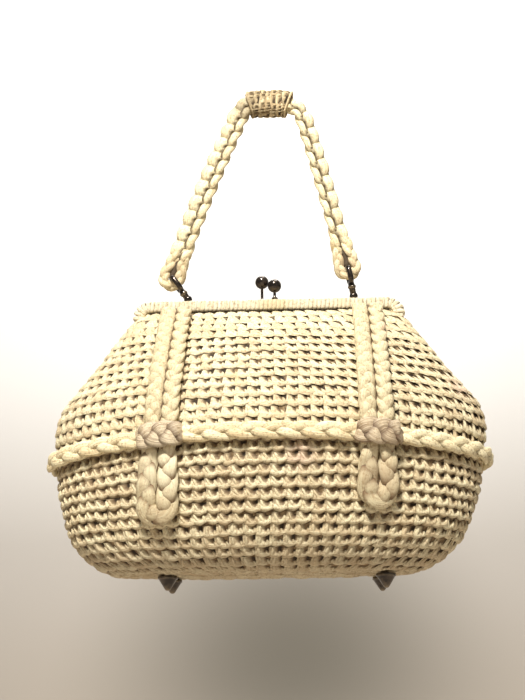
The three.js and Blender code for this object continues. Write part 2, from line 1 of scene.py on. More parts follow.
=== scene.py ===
import math

import bmesh
import bpy
import numpy as np
from mathutils import Matrix, Vector


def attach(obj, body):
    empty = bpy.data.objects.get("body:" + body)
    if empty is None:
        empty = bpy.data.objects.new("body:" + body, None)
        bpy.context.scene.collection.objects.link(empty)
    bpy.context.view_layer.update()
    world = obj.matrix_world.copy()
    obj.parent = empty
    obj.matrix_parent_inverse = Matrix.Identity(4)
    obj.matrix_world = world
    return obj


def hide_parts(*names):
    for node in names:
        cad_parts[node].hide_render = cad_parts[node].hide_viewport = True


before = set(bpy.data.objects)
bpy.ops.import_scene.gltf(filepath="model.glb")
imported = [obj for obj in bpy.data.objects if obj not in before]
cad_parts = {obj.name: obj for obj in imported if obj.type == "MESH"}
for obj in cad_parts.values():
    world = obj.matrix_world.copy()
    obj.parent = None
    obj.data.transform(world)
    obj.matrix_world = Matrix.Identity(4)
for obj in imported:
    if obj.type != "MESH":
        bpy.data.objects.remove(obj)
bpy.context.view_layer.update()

# Body
# A soft pouch of single crochet in raffia, worked in rounds from the middle of the base up to
# the frame. The wall is about 3 mm of looped straw: an inner face painted dark as the shadow seen
# through the holes, with the stitches standing out.

MM = 0.001
HANG_HEIGHT = 364.0


def table(columns, rows):
    """Rows of numbers whose columns are read by name."""
    return np.array(rows, dtype=[(name, float) for name in columns])


WALL = table(
    ("height", "half_width", "half_depth", "squareness", "sag", "lean"),
    [
        (0, 76, 4, 2.6, 0, -5),
        (0, 102, 30, 2.6, 0, -5),
        (3.5, 112, 36.5, 2.5, 0, -5),
        (9.5, 121.5, 42.5, 2.4, 0.3, -4.5),
        (20, 132, 49.5, 2.3, 1, -4),
        (32.5, 138.7, 54.5, 2.2, 2, -3),
        (46, 143, 58.5, 2.1, 3.5, -2.5),
        (60, 147.3, 61.5, 2, 5, -2),
        (74, 149.5, 63.5, 1.9, 6.5, -1.5),
        (88, 151.5, 63.5, 1.85, 7, -1),
        (102, 154.5, 60.5, 1.85, 6.5, -0.5),
        (114, 154, 56.5, 1.85, 6, 0),
        (125, 149.5, 51.5, 1.9, 5, 0),
        (136, 140, 45.5, 1.95, 4, 0),
        (148, 130, 38.5, 2.1, 3, 0),
        (160, 121, 31, 2.3, 2, 0),
        (172, 112, 23, 2.7, 1, 0),
        (183, 103.5, 15, 3.2, 0, 0),
        (187, 99.5, 12.2, 3.6, 0, 0),
        (188.5, 92.1, 11, 4.4, 0, 0),
        (192, 92.1, 7, 6, 0, 0),
    ],
)
SOFTENING = 4
TURNS = 240
QUARTER_SAMPLES = 200

section_gaps = np.hypot(np.diff(WALL["half_depth"]), np.diff(WALL["height"]))
section_run = np.concatenate([[0.0], np.cumsum(section_gaps)])
profile_run = np.arange(0.0, section_run[-1], 1.0)


def softened(column):
    """A column of the wall's table at every millimetre of the profile, with its kinks rounded off."""
    kinked = np.interp(profile_run, section_run, WALL[column])
    padded = np.pad(kinked, SOFTENING, mode="reflect", reflect_type="odd")
    weights = np.hanning(2 * SOFTENING + 3)[1:-1]
    return np.convolve(padded, weights / weights.sum(), mode="valid")


profile = {column: softened(column) for column in WALL.dtype.names}


def even_quarter(half_width, half_depth, squareness):
    angle = np.linspace(0, math.pi / 2, QUARTER_SAMPLES)
    x = half_width * np.sin(angle) ** (2 / squareness)
    y = half_depth * np.cos(angle) ** (2 / squareness)
    travelled = np.concatenate([[0.0], np.cumsum(np.hypot(np.diff(x), np.diff(y)))])
    even = np.linspace(0, travelled[-1], TURNS // 4 + 1)
    return np.interp(even, travelled, x), np.interp(even, travelled, y)


def wall_ring(height, half_width, half_depth, squareness, sag, lean):
    x, y = even_quarter(half_width, half_depth, squareness)
    ring_x = np.concatenate([x[:-1], x[:0:-1], -x[:-1], -x[:0:-1]])
    ring_y = np.concatenate([-y[:-1], y[:0:-1], y[:-1], -y[:0:-1]])
    ring_z = height - sag * (ring_x / half_width) ** 2
    return np.stack([ring_x + lean, ring_y, ring_z], axis=-1)


wall = np.stack([wall_ring(*row) for row in zip(*profile.values())])
wall_along = np.roll(wall, -1, axis=1) - np.roll(wall, 1, axis=1)
wall_up = np.gradient(wall, axis=0)


def unit(vectors):
    return vectors / np.maximum(np.linalg.norm(vectors, axis=-1, keepdims=True), 1e-9)


wall_out = unit(np.cross(wall_along, wall_up))


def on_wall(turn, run, lift):
    """Points off the wall. Turn 0 is the middle of the front, run goes up the profile, lift is outward."""
    turn, run, lift = np.broadcast_arrays(turn, run, lift)
    column = np.mod(turn, 1.0) * TURNS
    row = np.clip(run, 0, len(wall) - 1.001)
    left, low = column.astype(int), row.astype(int)
    across, up = (column - left)[..., None], (row - low)[..., None]

    def blended(grid):
        under = grid[low, left % TURNS] * (1 - across) + grid[low, (left + 1) % TURNS] * across
        over = grid[low + 1, left % TURNS] * (1 - across) + grid[low + 1, (left + 1) % TURNS] * across
        return under * (1 - up) + over * up

    return blended(wall) + blended(wall_out) * lift[..., None]


def strand_patch(lengthwise, around):
    """A flat grid to be rolled into a strand: the step along and around of each corner, and the quads."""
    patch = bmesh.new()
    bmesh.ops.create_grid(patch, x_segments=lengthwise, y_segments=around, size=0.5)
    corners = np.array([vert.co[:2] for vert in patch.verts]) + 0.5
    quads = np.array([[vert.index for vert in face.verts] for face in patch.faces])
    patch.free()
    return np.rint(corners * (lengthwise, around)).astype(int), quads


class Shade:
    """A shader socket that takes part in sums like a number."""

    def __init__(self, tree, socket=None):
        self.tree = tree
        self.socket = socket

    def node(self, kind, settings=None, inputs=None, output=0):
        made = self.tree.nodes.new("ShaderNode" + kind)
        for name, value in (settings or {}).items():
            setattr(made, name, value)
        for name, value in (inputs or {}).items():
            if isinstance(value, Shade):
                self.tree.links.new(value.socket, made.inputs[name])
            else:
                made.inputs[name].default_value = value
        return Shade(self.tree, made.outputs[output])

    def sum_of(self, operation, first, second):
        return self.node("Math", {"operation": operation}, {0: first, 1: second})

    def __add__(self, other):
        return self.sum_of("ADD", self, other)

    def __sub__(self, other):
        return self.sum_of("SUBTRACT", self, other)

    def __rsub__(self, other):
        return self.sum_of("SUBTRACT", other, self)

    def __mul__(self, other):
        return self.sum_of("MULTIPLY", self, other)

    def between(self, low, high):
        """0 below low, 1 above high and smooth between."""
        settings = {"interpolation_type": "SMOOTHSTEP"}
        return self.node("MapRange", settings, {"Value": self, "From Min": low, "From Max": high})

    def mixed(self, first, second):
        """The first colour where this is 0, the second where it is 1."""
        return self.node("Mix", {"data_type": "RGBA"}, {0: self, 6: first, 7: second}, 2)

    def noise(self, place, scale, detail, dimensions="3D"):
        settings = {"noise_dimensions": dimensions}
        return self.node("TexNoise", settings, {"Vector": place, "Scale": scale, "Detail": detail})

    def stored(self, name):
        """A value that the mesh keeps at each of its points."""
        return self.node("Attribute", {"attribute_name": name}, output="Fac")

    def away_from(self, spot):
        return self.node("VectorMath", {"operation": "DISTANCE"}, {0: self, 1: spot}, "Value")


def finish(name, looks, constants):
    """A material from a function that gives the sockets that vary; constants go on the shader itself."""
    material = bpy.data.materials.new(name)
    material.use_nodes = True
    tree = material.node_tree
    shader = tree.nodes["Principled BSDF"]
    for socket, value in constants.items():
        shader.inputs[socket].default_value = value
    for socket, shade in looks(Shade(tree)).items():
        tree.links.new(shade.socket, shader.inputs[socket])
    return material


# A stain or painted mark has its middle in mm above the base, its reach in mm and its colour.
STAINS_AND_PAINTED_LIGHT = [
    ((90, -30, 172), 16, (0.80, 0.55, 0.42, 1)),
    ((4, -4, 199), 18, (0.66, 0.52, 0.26, 1)),
    ((136, -20, 128), 15, (0.78, 0.54, 0.44, 1)),
    ((-22, -52, 128), 11, (0.72, 0.56, 0.30, 1)),
    ((20, -62, 70), 15, (0.76, 0.55, 0.44, 1)),
    ((-70, 2, 226), 22, (0.50, 0.38, 0.24, 1)),
    ((60, 2, 228), 18, (0.55, 0.42, 0.28, 1)),
    ((-16, 0, 372), 22, (0.12, 0.075, 0.035, 1)),
    # Painted highlight: a pale mark that lightens the front of the left tail.
    ((-68, -68, 62), 28, (1.0, 0.92, 0.68, 1)),
    # These two darken the right tail and the lower end of the left tail.
    ((72, -66, 55), 20, (0.42, 0.30, 0.19, 1)),
    ((-72, -66, 34), 16, (0.36, 0.25, 0.15, 1)),
]
LOW_SHADE_HEIGHTS = (-0.364, -0.338)
STREAK_STRETCH = (0.07, 1.15, 1)
THREAD_STRETCH = (0.12, 3.6, 1)
YELLOWED = (0.80, 0.66, 0.40, 1)
SPECK_BROWN = (0.40, 0.28, 0.15, 1)
LOW_SHADE_BROWN = (0.36, 0.27, 0.18, 1)
HOLE_SHADOW_BLACK = (0.03, 0.018, 0.008, 1)


def raffia(name, pale, deep, pit_shade, groove, shine=0.4):
    """Dry palm fibre: streaks along the strand, a shade of its own for each strand, painted shade low down
    and in the hollows.
    """

    def looks(shade):
        fibre = shade.node("UVMap", {"uv_map": "fibre"})
        place = shade.node("TexCoord", output="Object")
        stretched = shade.node("Mapping", None, {"Vector": fibre, "Scale": STREAK_STRETCH})
        streak = shade.noise(stretched, 1, 4, "2D")
        thread = shade.node("Mapping", None, {"Vector": fibre, "Scale": THREAD_STRETCH})
        fine = shade.noise(thread, 1, 2, "2D")
        patch = shade.noise(place, 16, 2)
        fairness = streak * 0.5 + fine * 0.33 + shade.stored("tone") * 0.17
        colour = fairness.between(0.38, 0.60).mixed(deep, pale)
        colour = (patch.between(0.5, 0.72) * 0.35).mixed(colour, YELLOWED)
        speck = shade.noise(place, 620, 3)
        colour = (speck.between(0.51, 0.66) * 0.6).mixed(colour, SPECK_BROWN)
        # Stains, and one painted highlight, are mixed in where they reach.
        for centre, reach, stain_or_light in STAINS_AND_PAINTED_LIGHT:
            away = place.away_from((Vector(centre) - Vector((0, 0, HANG_HEIGHT))) * MM)
            near = (1 - away.between(0.2 * reach * MM, reach * MM)) * (patch * 0.5 + streak * 0.6)
            colour = near.mixed(colour, stain_or_light)
        # Painted shade: the straw is coloured browner towards the bottom of the bag.
        low = shade.node("SeparateXYZ", None, {"Vector": place}, "Z")
        colour = ((1 - low.between(*LOW_SHADE_HEIGHTS)) * 0.45).mixed(colour, LOW_SHADE_BROWN)
        # Painted shade: points marked low in depth are coloured towards the pit shade, and the lowest near
        # black as shadowed holes.
        depth = shade.stored("depth")
        colour = (1 - depth.between(*groove)).mixed(colour, pit_shade)
        colour = (1 - depth.between(0, 0.2)).mixed(colour, HOLE_SHADOW_BLACK)
        height = streak * 0.5 + fine * 0.3 - speck * 0.4
        bump = shade.node("Bump", None, {"Height": height, "Strength": 0.9, "Distance": 0.0009})
        return {"Base Color": colour, "Roughness": 0.78 - streak * 0.35, "Normal": bump}

    return finish(name, looks, {"Specular IOR Level": shine})


crochet_straw = raffia(
    "straw_crochet",
    pale=(0.88, 0.80, 0.555, 1),
    deep=(0.66, 0.53, 0.335, 1),
    pit_shade=(0.20, 0.135, 0.075, 1),
    groove=(0.15, 0.75),
    shine=0.35,
)
# The inner face is painted dark brown as the shadow seen through the holes between the stitches.
INNER_PAINTED_SHADOW = (0.16, 0.105, 0.055, 1), (0.34, 0.245, 0.14, 1)


def ground_looks(shade):
    mottle = shade.noise(shade.node("TexCoord", output="Object"), 420, 3)
    colour = mottle.between(0.3, 0.7).mixed(*INNER_PAINTED_SHADOW)
    return {"Base Color": colour, "Roughness": 0.9 - mottle * 0.1}


inner_straw = finish("straw_inner_face", ground_looks, {"Specular IOR Level": 0.2})


def in_scene(name, data):
    made = bpy.data.objects.new(name, data)
    bpy.context.scene.collection.objects.link(made)
    return made


def placed(name, mesh, material, node):
    """Puts a mesh in the scene as a piece that stands for one of the solids."""
    mesh.shade_smooth()
    mesh.materials.append(material)
    piece = in_scene(name, mesh)
    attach(piece, "root")
    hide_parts(node)


def joined(parts):
    """Several parts as one. Each is a row of its points, its quads, and values at the points."""
    points, quads, *values = zip(*parts)
    starts = np.cumsum([0] + [len(own) for own in points])
    quads = [own + start for own, start in zip(quads, starts)]
    return [np.concatenate(column) for column in (points, quads, *values)]


def straw_piece(name, parts, material, node):
    """Joins strands into one piece. A part is its points in mm above the base, quads, fibre, tone, depth."""
    points, quads, fibre, tone, depth = joined(parts)
    mesh = bpy.data.meshes.new(name)
    mesh.from_pydata((points - (0, 0, HANG_HEIGHT)) * MM, [], quads)
    mesh.uv_layers.new(name="fibre").data.foreach_set("uv", fibre[quads].astype(np.float32).ravel())
    for attribute, values in (("tone", tone), ("depth", depth)):
        mesh.attributes.new(attribute, "FLOAT", "POINT").data.foreach_set("value", values.astype(np.float32))
    welded = bmesh.new()
    welded.from_mesh(mesh)
    bmesh.ops.remove_doubles(welded, verts=welded.verts, dist=1e-7)
    welded.to_mesh(mesh)
    welded.free()
    placed(name, mesh, material, node)


GROUND_LIFT = -2.3
GROUND_STEP = 3


def inner_face(surface, columns, rows, row_step, lift):
    """The plain face behind the stitches of a surface, as one part."""
    corner, quads = strand_patch(columns, rows)
    points = surface(corner[:, 0] / columns, corner[:, 1] * row_step, lift)
    even = np.ones(len(corner))
    return points, quads, corner * 1.0, even, even


body_face = inner_face(on_wall, TURNS // 2, len(wall) // GROUND_STEP, GROUND_STEP, GROUND_LIFT)
straw_piece("body_inner_face", [body_face], inner_straw, "body")

# Crochet stitches
# Single crochet: each stitch lies along the round and throws two legs up into the next one. Near the
# frame they are drawn close, lower down they loosen, below the band they stand open, and on the
# underside one thick leg carries each stitch.

# Shade under each round and in the holes is painted into the straw's colour through each point's depth.
STITCH = 8.5
SHEET_RIGHT = np.array((-5.3, -2.7, -0.8, 1.1, 3.0, 5.2))
CLOSE_SHEET = [
    (-0.3, 1.3, (0.75, 0.95, 1, 1, 0.9, 0.7)),
    (1.3, 2.2, (0.8, 1, 1, 1, 1, 0.75)),
    (3.0, 2.1, (0.75, 1, 1, 0.85, 0.4, 0.7)),
    (4.4, 1.8, (0.85, 1, 0.95, 0.35, 0, 0.6)),
    (5.8, 1.8, (1, 1, 0.75, 0.05, 0, 0.45)),
    (7.2, 1.6, (0.95, 0.85, 0.45, 0, 0, 0.4)),
    (8.8, 0.9, (0.9, 0.8, 0.6, 0.4, 0.3, 0.7)),
]
CLOSE_LEGS = [
    [(-3.3, 2.6, 1.0, 1.3), (-3.4, 5.6, 1.0, 1.4), (-3.1, 8.8, 0.5, 1.2)],
    [(2.6, 2.2, 0.9, 1.3), (0.9, 4.4, 1.0, 1.4), (-1.2, 6.6, 0.8, 1.3), (-2.0, 8.8, 0.3, 1.1)],
]
LOOSE_SHEET = [
    (-0.3, 1.3, (0.5, 0.75, 0.75, 0.4, 0.2, 0.35)),
    (1.2, 2.2, (0.7, 1, 1, 1, 0.95, 0.65)),
    (2.9, 2.1, (0.65, 1, 1, 0.85, 0.5, 0.6)),
    (4.3, 1.7, (0.8, 1, 0.75, 0.2, 0.05, 0.5)),
    (5.5, 1.5, (0.85, 0.9, 0.35, 0, 0, 0.3)),
    (7.0, 1.3, (0.6, 0.5, 0.1, 0, 0, 0.2)),
    (8.8, 0.8, (0.55, 0.4, 0.15, 0, 0, 0.3)),
]
LOOSE_LEGS = [
    [(-3.0, 2.4, 1.0, 1.2), (-3.4, 5.2, 1.0, 1.2), (-3.6, 8.0, 0.4, 0.9)],
    [(2.6, 1.8, 0.9, 1.2), (2.0, 3.8, 0.9, 1.2), (1.1, 5.8, 0.3, 0.8)],
]
OPEN_SHEET = [
    (-0.3, 1.1, (0.3, 0.42, 0.35, 0.05, 0, 0.1)),
    (0.7, 1.7, (0.4, 0.55, 0.55, 0.4, 0.25, 0.3)),
    (1.6, 2.4, (0.65, 1, 1, 1, 0.95, 0.6)),
    (3.0, 2.4, (0.6, 0.95, 1, 0.85, 1, 0.65)),
    (4.3, 1.7, (0.45, 0.85, 0.5, 0.25, 0.8, 0.45)),
    (5.8, 1.3, (0.38, 0.6, 0.25, 0.12, 0.4, 0.3)),
    (7.2, 1.0, (0.38, 0.45, 0.25, 0, 0, 0.1)),
    (8.7, 0.9, (0.4, 0.4, 0.25, 0, 0, 0.05)),
]
OPEN_LEGS = [
    [(-0.6, 1.9, 1.5, 1.0), (-1.9, 4.2, 1.6, 1.05), (-3.0, 6.2, 1.2, 0.95), (-3.6, 7.8, 0.6, 0.65)],
    [(3.5, 1.9, 1.5, 1.0), (3.4, 3.8, 1.6, 1.05), (3.1, 5.4, 1.2, 0.9), (2.9, 6.6, 0.6, 0.55)],
]
UNDER_SHEET = [
    (-0.3, 0.9, (0.35, 0.55, 0.35, 0.05, 0, 0.15)),
    (0.8, 1.9, (0.6, 0.95, 0.9, 0.7, 0.6, 0.55)),
    (2.3, 2.2, (0.65, 1, 1, 1, 0.9, 0.65)),
    (3.6, 1.8, (0.7, 1, 0.9, 0.6, 0.4, 0.6)),
    (4.8, 1.4, (0.7, 0.95, 0.6, 0.15, 0, 0.45)),
    (6.8, 1.1, (0.6, 0.9, 0.45, 0.05, 0, 0.4)),
    (8.7, 0.9, (0.5, 0.7, 0.3, 0.05, 0, 0.3)),
]
UNDER_LEGS = [
    [(-2.6, 2.4, 1.1, 1.3), (-2.9, 5.2, 1.2, 1.4), (-3.0, 8.0, 0.5, 1.1)],
    [(2.6, 1.8, 0.9, 1.2), (2.4, 3.8, 0.9, 1.1), (1.9, 5.4, 0.3, 0.8)],
]
DIP = np.array((0.75, -0.1, -0.7, -0.7, 0.1, 0.8))
LEG_FLATNESS = 0.85
LEG_AROUND = 4
LEG_DARKEST = 0.12
ROLL = np.radians((-45, 225))
CREST = 2.2


def travelled_along(points):
    """The distance along a line at each of its points."""
    return np.concatenate([[0.0], np.cumsum(np.linalg.norm(np.diff(points, axis=0), axis=-1))])


def stitch_leg(knots):
    """One leg of a stitch, open underneath. Each knot of its line holds right, up, out and radius in mm."""
    knots = np.array(knots, float)
    step, quads = strand_patch(len(knots) - 1, LEG_AROUND)
    ahead = unit(np.gradient(knots[:, :2], axis=0))
    aside = np.stack([ahead[:, 1], -ahead[:, 0]], axis=-1)
    angle = ROLL[0] + (ROLL[1] - ROLL[0]) * step[:, 1] / LEG_AROUND
    here = knots[step[:, 0]]
    flat = here[:, :2] + aside[step[:, 0]] * (here[:, 3] * np.cos(angle))[:, None]
    out = here[:, 2] + here[:, 3] * LEG_FLATNESS * np.sin(angle)
    fibre = np.stack([travelled_along(knots[:, :3])[step[:, 0]], here[:, 3] * angle], axis=-1)
    # The last value paints shade: the leg is coloured darker where it sinks in, never below LEG_DARKEST.
    return np.column_stack([flat, out]), quads, fibre, np.clip(out / CREST, LEG_DARKEST, 1)


# The levels also paint shade: low levels colour the straw darker under each round, and black in the holes.
def stitch_sheet(rows):
    """The straw that lies along the round. A row holds its height, how far it stands out, and its levels."""
    step, quads = strand_patch(len(SHEET_RIGHT) - 1, len(rows) - 1)
    cell = step[:, 1], step[:, 0]
    height, reach = (np.array([row[k] for row in rows], float)[:, None] for k in (0, 1))
    level = np.array([row[2] for row in rows], float)
    right = SHEET_RIGHT[step[:, 0]]
    up = (height + DIP * (1 - height / STITCH))[cell]
    out = (reach * level / level.max(axis=1, keepdims=True))[cell]
    return np.column_stack([right, up, out]), quads, np.column_stack([right, up]), level[cell]


def stitch(sheet, legs):
    return joined([stitch_sheet(sheet)] + [stitch_leg(knots) for knots in legs])


close_stitch = stitch(CLOSE_SHEET, CLOSE_LEGS)
loose_stitch = stitch(LOOSE_SHEET, LOOSE_LEGS)
open_stitch = stitch(OPEN_SHEET, OPEN_LEGS)
under_stitch = stitch(UNDER_SHEET, UNDER_LEGS)

rng = np.random.default_rng(11)
SWELL = 0.05
SHIFT = 0.2
LEAN = 0.04
SLIP = 0.12
WAVER = 0.25
WAVES = (5, 9, 14)
FIBRE_SPREAD = 400.0


def stitches(pattern, surface, turn, run, pitch, size, lift, play):
    """Copies of a stitch on a surface, each a little different. Play is how loosely they sit."""
    points, pattern_quads, pattern_fibre, pattern_depth = pattern
    count = len(turn)
    swell = 1 + SWELL * play * rng.standard_normal((count, 1))
    shift = SHIFT * play * rng.standard_normal((3, count, 1))
    lean, tilt = LEAN * play * rng.standard_normal((2, count, 1))
    right, up, out = points.T
    places = surface(
        turn[:, None] + (right * swell + lean * up + shift[0]) / STITCH * pitch[:, None],
        run[:, None] + (up + tilt * right + shift[1]) * size,
        lift + (out * swell + 0.6 * shift[2]) * size,
    )
    quads = pattern_quads + (np.arange(count) * len(points))[:, None, None]
    fibre = pattern_fibre + rng.uniform(0, FIBRE_SPREAD, (count, 1, 2))
    tone = np.broadcast_to(rng.uniform(0, 1, (count, 1)), (count, len(points)))
    depth = np.broadcast_to(pattern_depth, tone.shape)
    return places.reshape(-1, 3), quads.reshape(-1, 4), fibre.reshape(-1, 2), tone.ravel(), depth.ravel()


def wall_round(run):
    """Where the stitches of one round stand. The round wavers a little up and down."""
    ring = wall[int(np.clip(run + STITCH / 2, 0, len(wall) - 1))]
    length = np.linalg.norm(ring - np.roll(ring, 1, axis=0), axis=-1).sum()
    count = 2 * round(length / STITCH / 2)
    turn = (np.arange(count) + rng.uniform(-SLIP, SLIP)) / count
    waver = sum(WAVER * np.sin(2 * math.pi * (waves * turn + rng.uniform())) for waves in WAVES)
    return turn, run + waver, np.full(count, 1 / count)


BASE_EDGE = section_run[1]
BAND_HEIGHT = 85.0


def run_at(height):
    above_base = profile_run >= BASE_EDGE
    return np.interp(height, profile["height"][above_base], profile_run[above_base])


LOOSE_HEIGHT = 160.0
UNDERSIDE_HEIGHT = 20.0
UPPER_PLAY = 1.1
LOWER_ROW = 7.8
LOWER_PLAY = 1.6
TOP_GAP = 0.6

band_run = run_at(BAND_HEIGHT)
upper_kinds = ((run_at(LOOSE_HEIGHT), close_stitch), (0, loose_stitch))
lower_kinds = ((run_at(UNDERSIDE_HEIGHT), open_stitch), (0, under_stitch))
base_kinds = ((-STITCH, under_stitch),)
top_round = profile_run[-1] - TOP_GAP
for part, low, kinds, row, play in (
    ("upper", band_run, upper_kinds, STITCH, UPPER_PLAY),
    ("lower", BASE_EDGE, lower_kinds, LOWER_ROW, LOWER_PLAY),
    ("base", -0.5 * STITCH, base_kinds, LOWER_ROW, LOWER_PLAY),
):
    knitted = []
    while top_round - row >= low:
        top_round -= row
        pattern = next(kind for above, kind in kinds if top_round >= above)
        knitted.append(stitches(pattern, on_wall, *wall_round(top_round), row / STITCH, GROUND_LIFT, play))
    straw_piece("body_crochet_" + part, knitted, crochet_straw, "body")

# Frame
# Two flat bars bent down at both ends and pinned there, one behind the other. Each is wound from
# end to end with a ribbon of raffia, so only the turns of straw show.

FRAME = {
    "top": 201.5,
    "half_width": 101.5,
    "bar": 9.0,
    "depth": 5.5,
    "leg": 15.7,
    "corner": 13.0,
    "split": 0.3,
}
HALF_Y = FRAME["split"] + FRAME["depth"] / 2
LEG_BURIED = 3.5
FRONT, BACK = -1, 1
BACKWARD = np.array([0.0, 1.0, 0.0])
WIND = {"pitch": 3.1, "steps": 22, "drift": 0.12, "slack": 0.25, "tucked": 1.5, "power": 0.5}
RIBBON = {"half_width": 1.85, "half_thick": 0.6, "around": 6}

wound_straw = raffia(
    "straw_wound",
    pale=(0.90, 0.84, 0.66, 1),
    deep=(0.74, 0.62, 0.42, 1),
    pit_shade=(0.42, 0.32, 0.19, 1),
    groove=(0.0, 0.5),
)


def places_along(points, travelled, distances):
    """The places on a line at the given distances along it."""
    return np.stack([np.interp(distances, travelled, axis) for axis in points.T], axis=-1)


def evenly(points, step):
    """The same line with corners every step, and the distance travelled at each."""
    travelled = travelled_along(points)
    even = np.linspace(0, travelled[-1], max(2, round(travelled[-1] / step) + 1))
    return places_along(points, travelled, even), even


def rounded_line(corners, radii, arc_steps=12):
    """Straight runs through the corners of a line in X and Z, with an arc of its own radius at each bend."""
    corners = [Vector((x, 0, z)) for x, z in corners]
    line = [corners[0]]
    for before, corner, after, radius in zip(corners, corners[1:], corners[2:], radii):
        back, ahead = (before - corner).normalized(), (after - corner).normalized()
        half = back.angle(ahead) / 2
        centre = corner + (back + ahead).normalized() * (radius / math.sin(half))
        start = corner + back * (radius / math.tan(half)) - centre
        end = corner + ahead * (radius / math.tan(half)) - centre
        sweep = [start.slerp(end, k / arc_steps).normalized() for k in range(arc_steps + 1)]
        line += [centre + direction * radius for direction in sweep]
    return np.array(line + [corners[-1]])


def tube(centre, aside, out, half_width, half_thick, around, fibre_start=0.0, tone=0.5, level=1.0):
    """A strand of oval section along a line of centres, with its sizes given at every corner."""
    count = len(centre)
    step, quads = strand_patch(count - 1, around)
    angle = 2 * math.pi * step[:, 1] / around - math.pi / 2
    along, here = step[:, 0], centre[step[:, 0]]
    half_width, half_thick = np.broadcast_to(half_width, count), np.broadcast_to(half_thick, count)
    across = aside[along] * (half_width[along] * np.cos(angle))[:, None]
    up = out[along] * (half_thick[along] * np.sin(angle))[:, None]
    travelled = travelled_along(centre)
    fibre = np.stack([travelled[along] + fibre_start, half_width[along] * angle + fibre_start], axis=-1)
    # Painted shade: each strand is coloured darker at its sides, where it meets its neighbours, and more
    # where its level is low.
    depth = (0.55 + 0.45 * np.abs(np.sin(angle))) * np.broadcast_to(level, count)[along]
    return here + across + up, quads, fibre, np.full(len(step), tone), depth


def squared(value, power):
    """A sine or cosine drawn towards 1 and -1, so that a round section gets flat sides."""
    return np.sign(value) * np.abs(value) ** power


def frame_winding(half):
    """One ribbon wound round the bar of the front or the back half, from leg to leg."""
    side, bar = FRAME["half_width"] - FRAME["bar"] / 2, FRAME["bar"]
    foot, top = FRAME["top"] - FRAME["leg"] - LEG_BURIED, FRAME["top"] - bar / 2
    bend = FRAME["corner"] - bar / 2
    line = rounded_line([(-side, foot), (-side, top), (side, top), (side, foot)], (bend, bend))
    line, travelled = evenly(line, 0.5)
    turns = int(travelled[-1] / WIND["pitch"])
    wound = np.arange(turns * WIND["steps"] + 1) / WIND["steps"]
    strayed = np.cumsum(rng.normal(0, WIND["drift"], turns + 2))
    drift = np.interp(wound, np.arange(turns + 2), strayed)
    evened = np.linspace(0, drift[-1], len(drift))
    along = np.clip(wound / turns * travelled[-1] + drift - evened, 0, travelled[-1])
    here = places_along(line, travelled, along)
    ahead = unit(places_along(unit(np.gradient(line, axis=0)), travelled, along))
    inward = np.cross(ahead, BACKWARD)
    angle = 2 * math.pi * wound
    give = np.interp(wound, np.arange(turns + 1), rng.uniform(-1, 1, turns + 1))
    slack = RIBBON["half_thick"] * (1 + WIND["slack"] * give)
    closed = np.clip(np.minimum(wound, turns - wound) / WIND["tucked"], 0, 1)
    across = (bar / 2 - slack) * squared(np.cos(angle), WIND["power"]) * closed
    deep = (FRAME["depth"] / 2 - slack) * squared(np.sin(angle), WIND["power"]) * closed
    centre = here + inward * across[:, None] + BACKWARD * deep[:, None]
    centre[:, 1] += half * HALF_Y
    out = unit(inward * np.cos(angle)[:, None] + BACKWARD * np.sin(angle)[:, None])
    return tube(centre, ahead, out, RIBBON["half_width"], RIBBON["half_thick"], RIBBON["around"])


for half, face in ((FRONT, "front"), (BACK, "back")):
    straw_piece("frame_winding_" + face, [frame_winding(half)], wound_straw, "frame_" + face)

# Bronze fittings
# The snap clasp, the links that hold the handle and the four feet are cast and turned in brass with
# a dark bronze finish, rubbed bright where hands and tables reach. The hinge pins are the same metal.

BRONZE_SHADES = (0.032, 0.025, 0.021, 1), (0.085, 0.066, 0.052, 1)
RUBBED_BRASS = (0.22, 0.175, 0.12, 1)


def bronze_looks(shade):
    place = shade.node("TexCoord", output="Object")
    cloud = shade.noise(place, 260, 4)
    scratch = shade.noise(place, 1500, 2)
    rubbed = (shade.stored("wear") + cloud * 0.7 - 0.35).between(0.25, 0.85)
    height = cloud * 0.7 + scratch * 0.3
    return {
        "Base Color": rubbed.mixed(cloud.between(0.35, 0.7).mixed(*BRONZE_SHADES), RUBBED_BRASS),
        "Roughness": cloud * 0.2 + 0.12,
        "Metallic": 0.85 - cloud * 0.1,
        "Normal": shade.node("Bump", None, {"Height": height, "Strength": 0.12, "Distance": 0.0003}),
    }


dark_bronze = finish("dark_bronze", bronze_looks, {"Coat Weight": 0.4, "Coat Roughness": 0.08})
TURN_STEPS = 40


def turned_shape(bm, profile, place):
    """Spins a profile of radius, height and wear about the vertical, and sets it in place, in mm."""
    wear = bm.verts.layers.float.get("wear") or bm.verts.layers.float.new("wear")
    verts = []
    for radius, height, worn in profile:
        vert = bm.verts.new((radius, 0, height))
        vert[wear] = worn
        verts.append(vert)
    edges = [bm.edges.new(pair) for pair in zip(verts, verts[1:])]
    before = set(bm.verts) - set(verts)
    about = {"cent": (0, 0, 0), "axis": (0, 0, 1), "angle": 2 * math.pi}
    bmesh.ops.spin(bm, geom=verts + edges, steps=TURN_STEPS, use_merge=True, **about)
    made = [vert for vert in bm.verts if vert not in before]
    bmesh.ops.remove_doubles(bm, verts=made, dist=1e-4)
    made = [vert for vert in bm.verts if vert not in before]
    bmesh.ops.transform(bm, matrix=place, verts=made)


def ball_profile(radius, centre, neck, steps, worn):
    """The profile of a ball from its neck up, worn towards the top."""
    start = math.asin(neck / radius)
    line = []
    for k in range(steps + 1):
        angle = start + (math.pi - start) * k / steps
        height = centre - radius * math.cos(angle)
        line.append((max(0.0, radius * math.sin(angle)), height, worn * max(0.0, -math.cos(angle))))
    return line


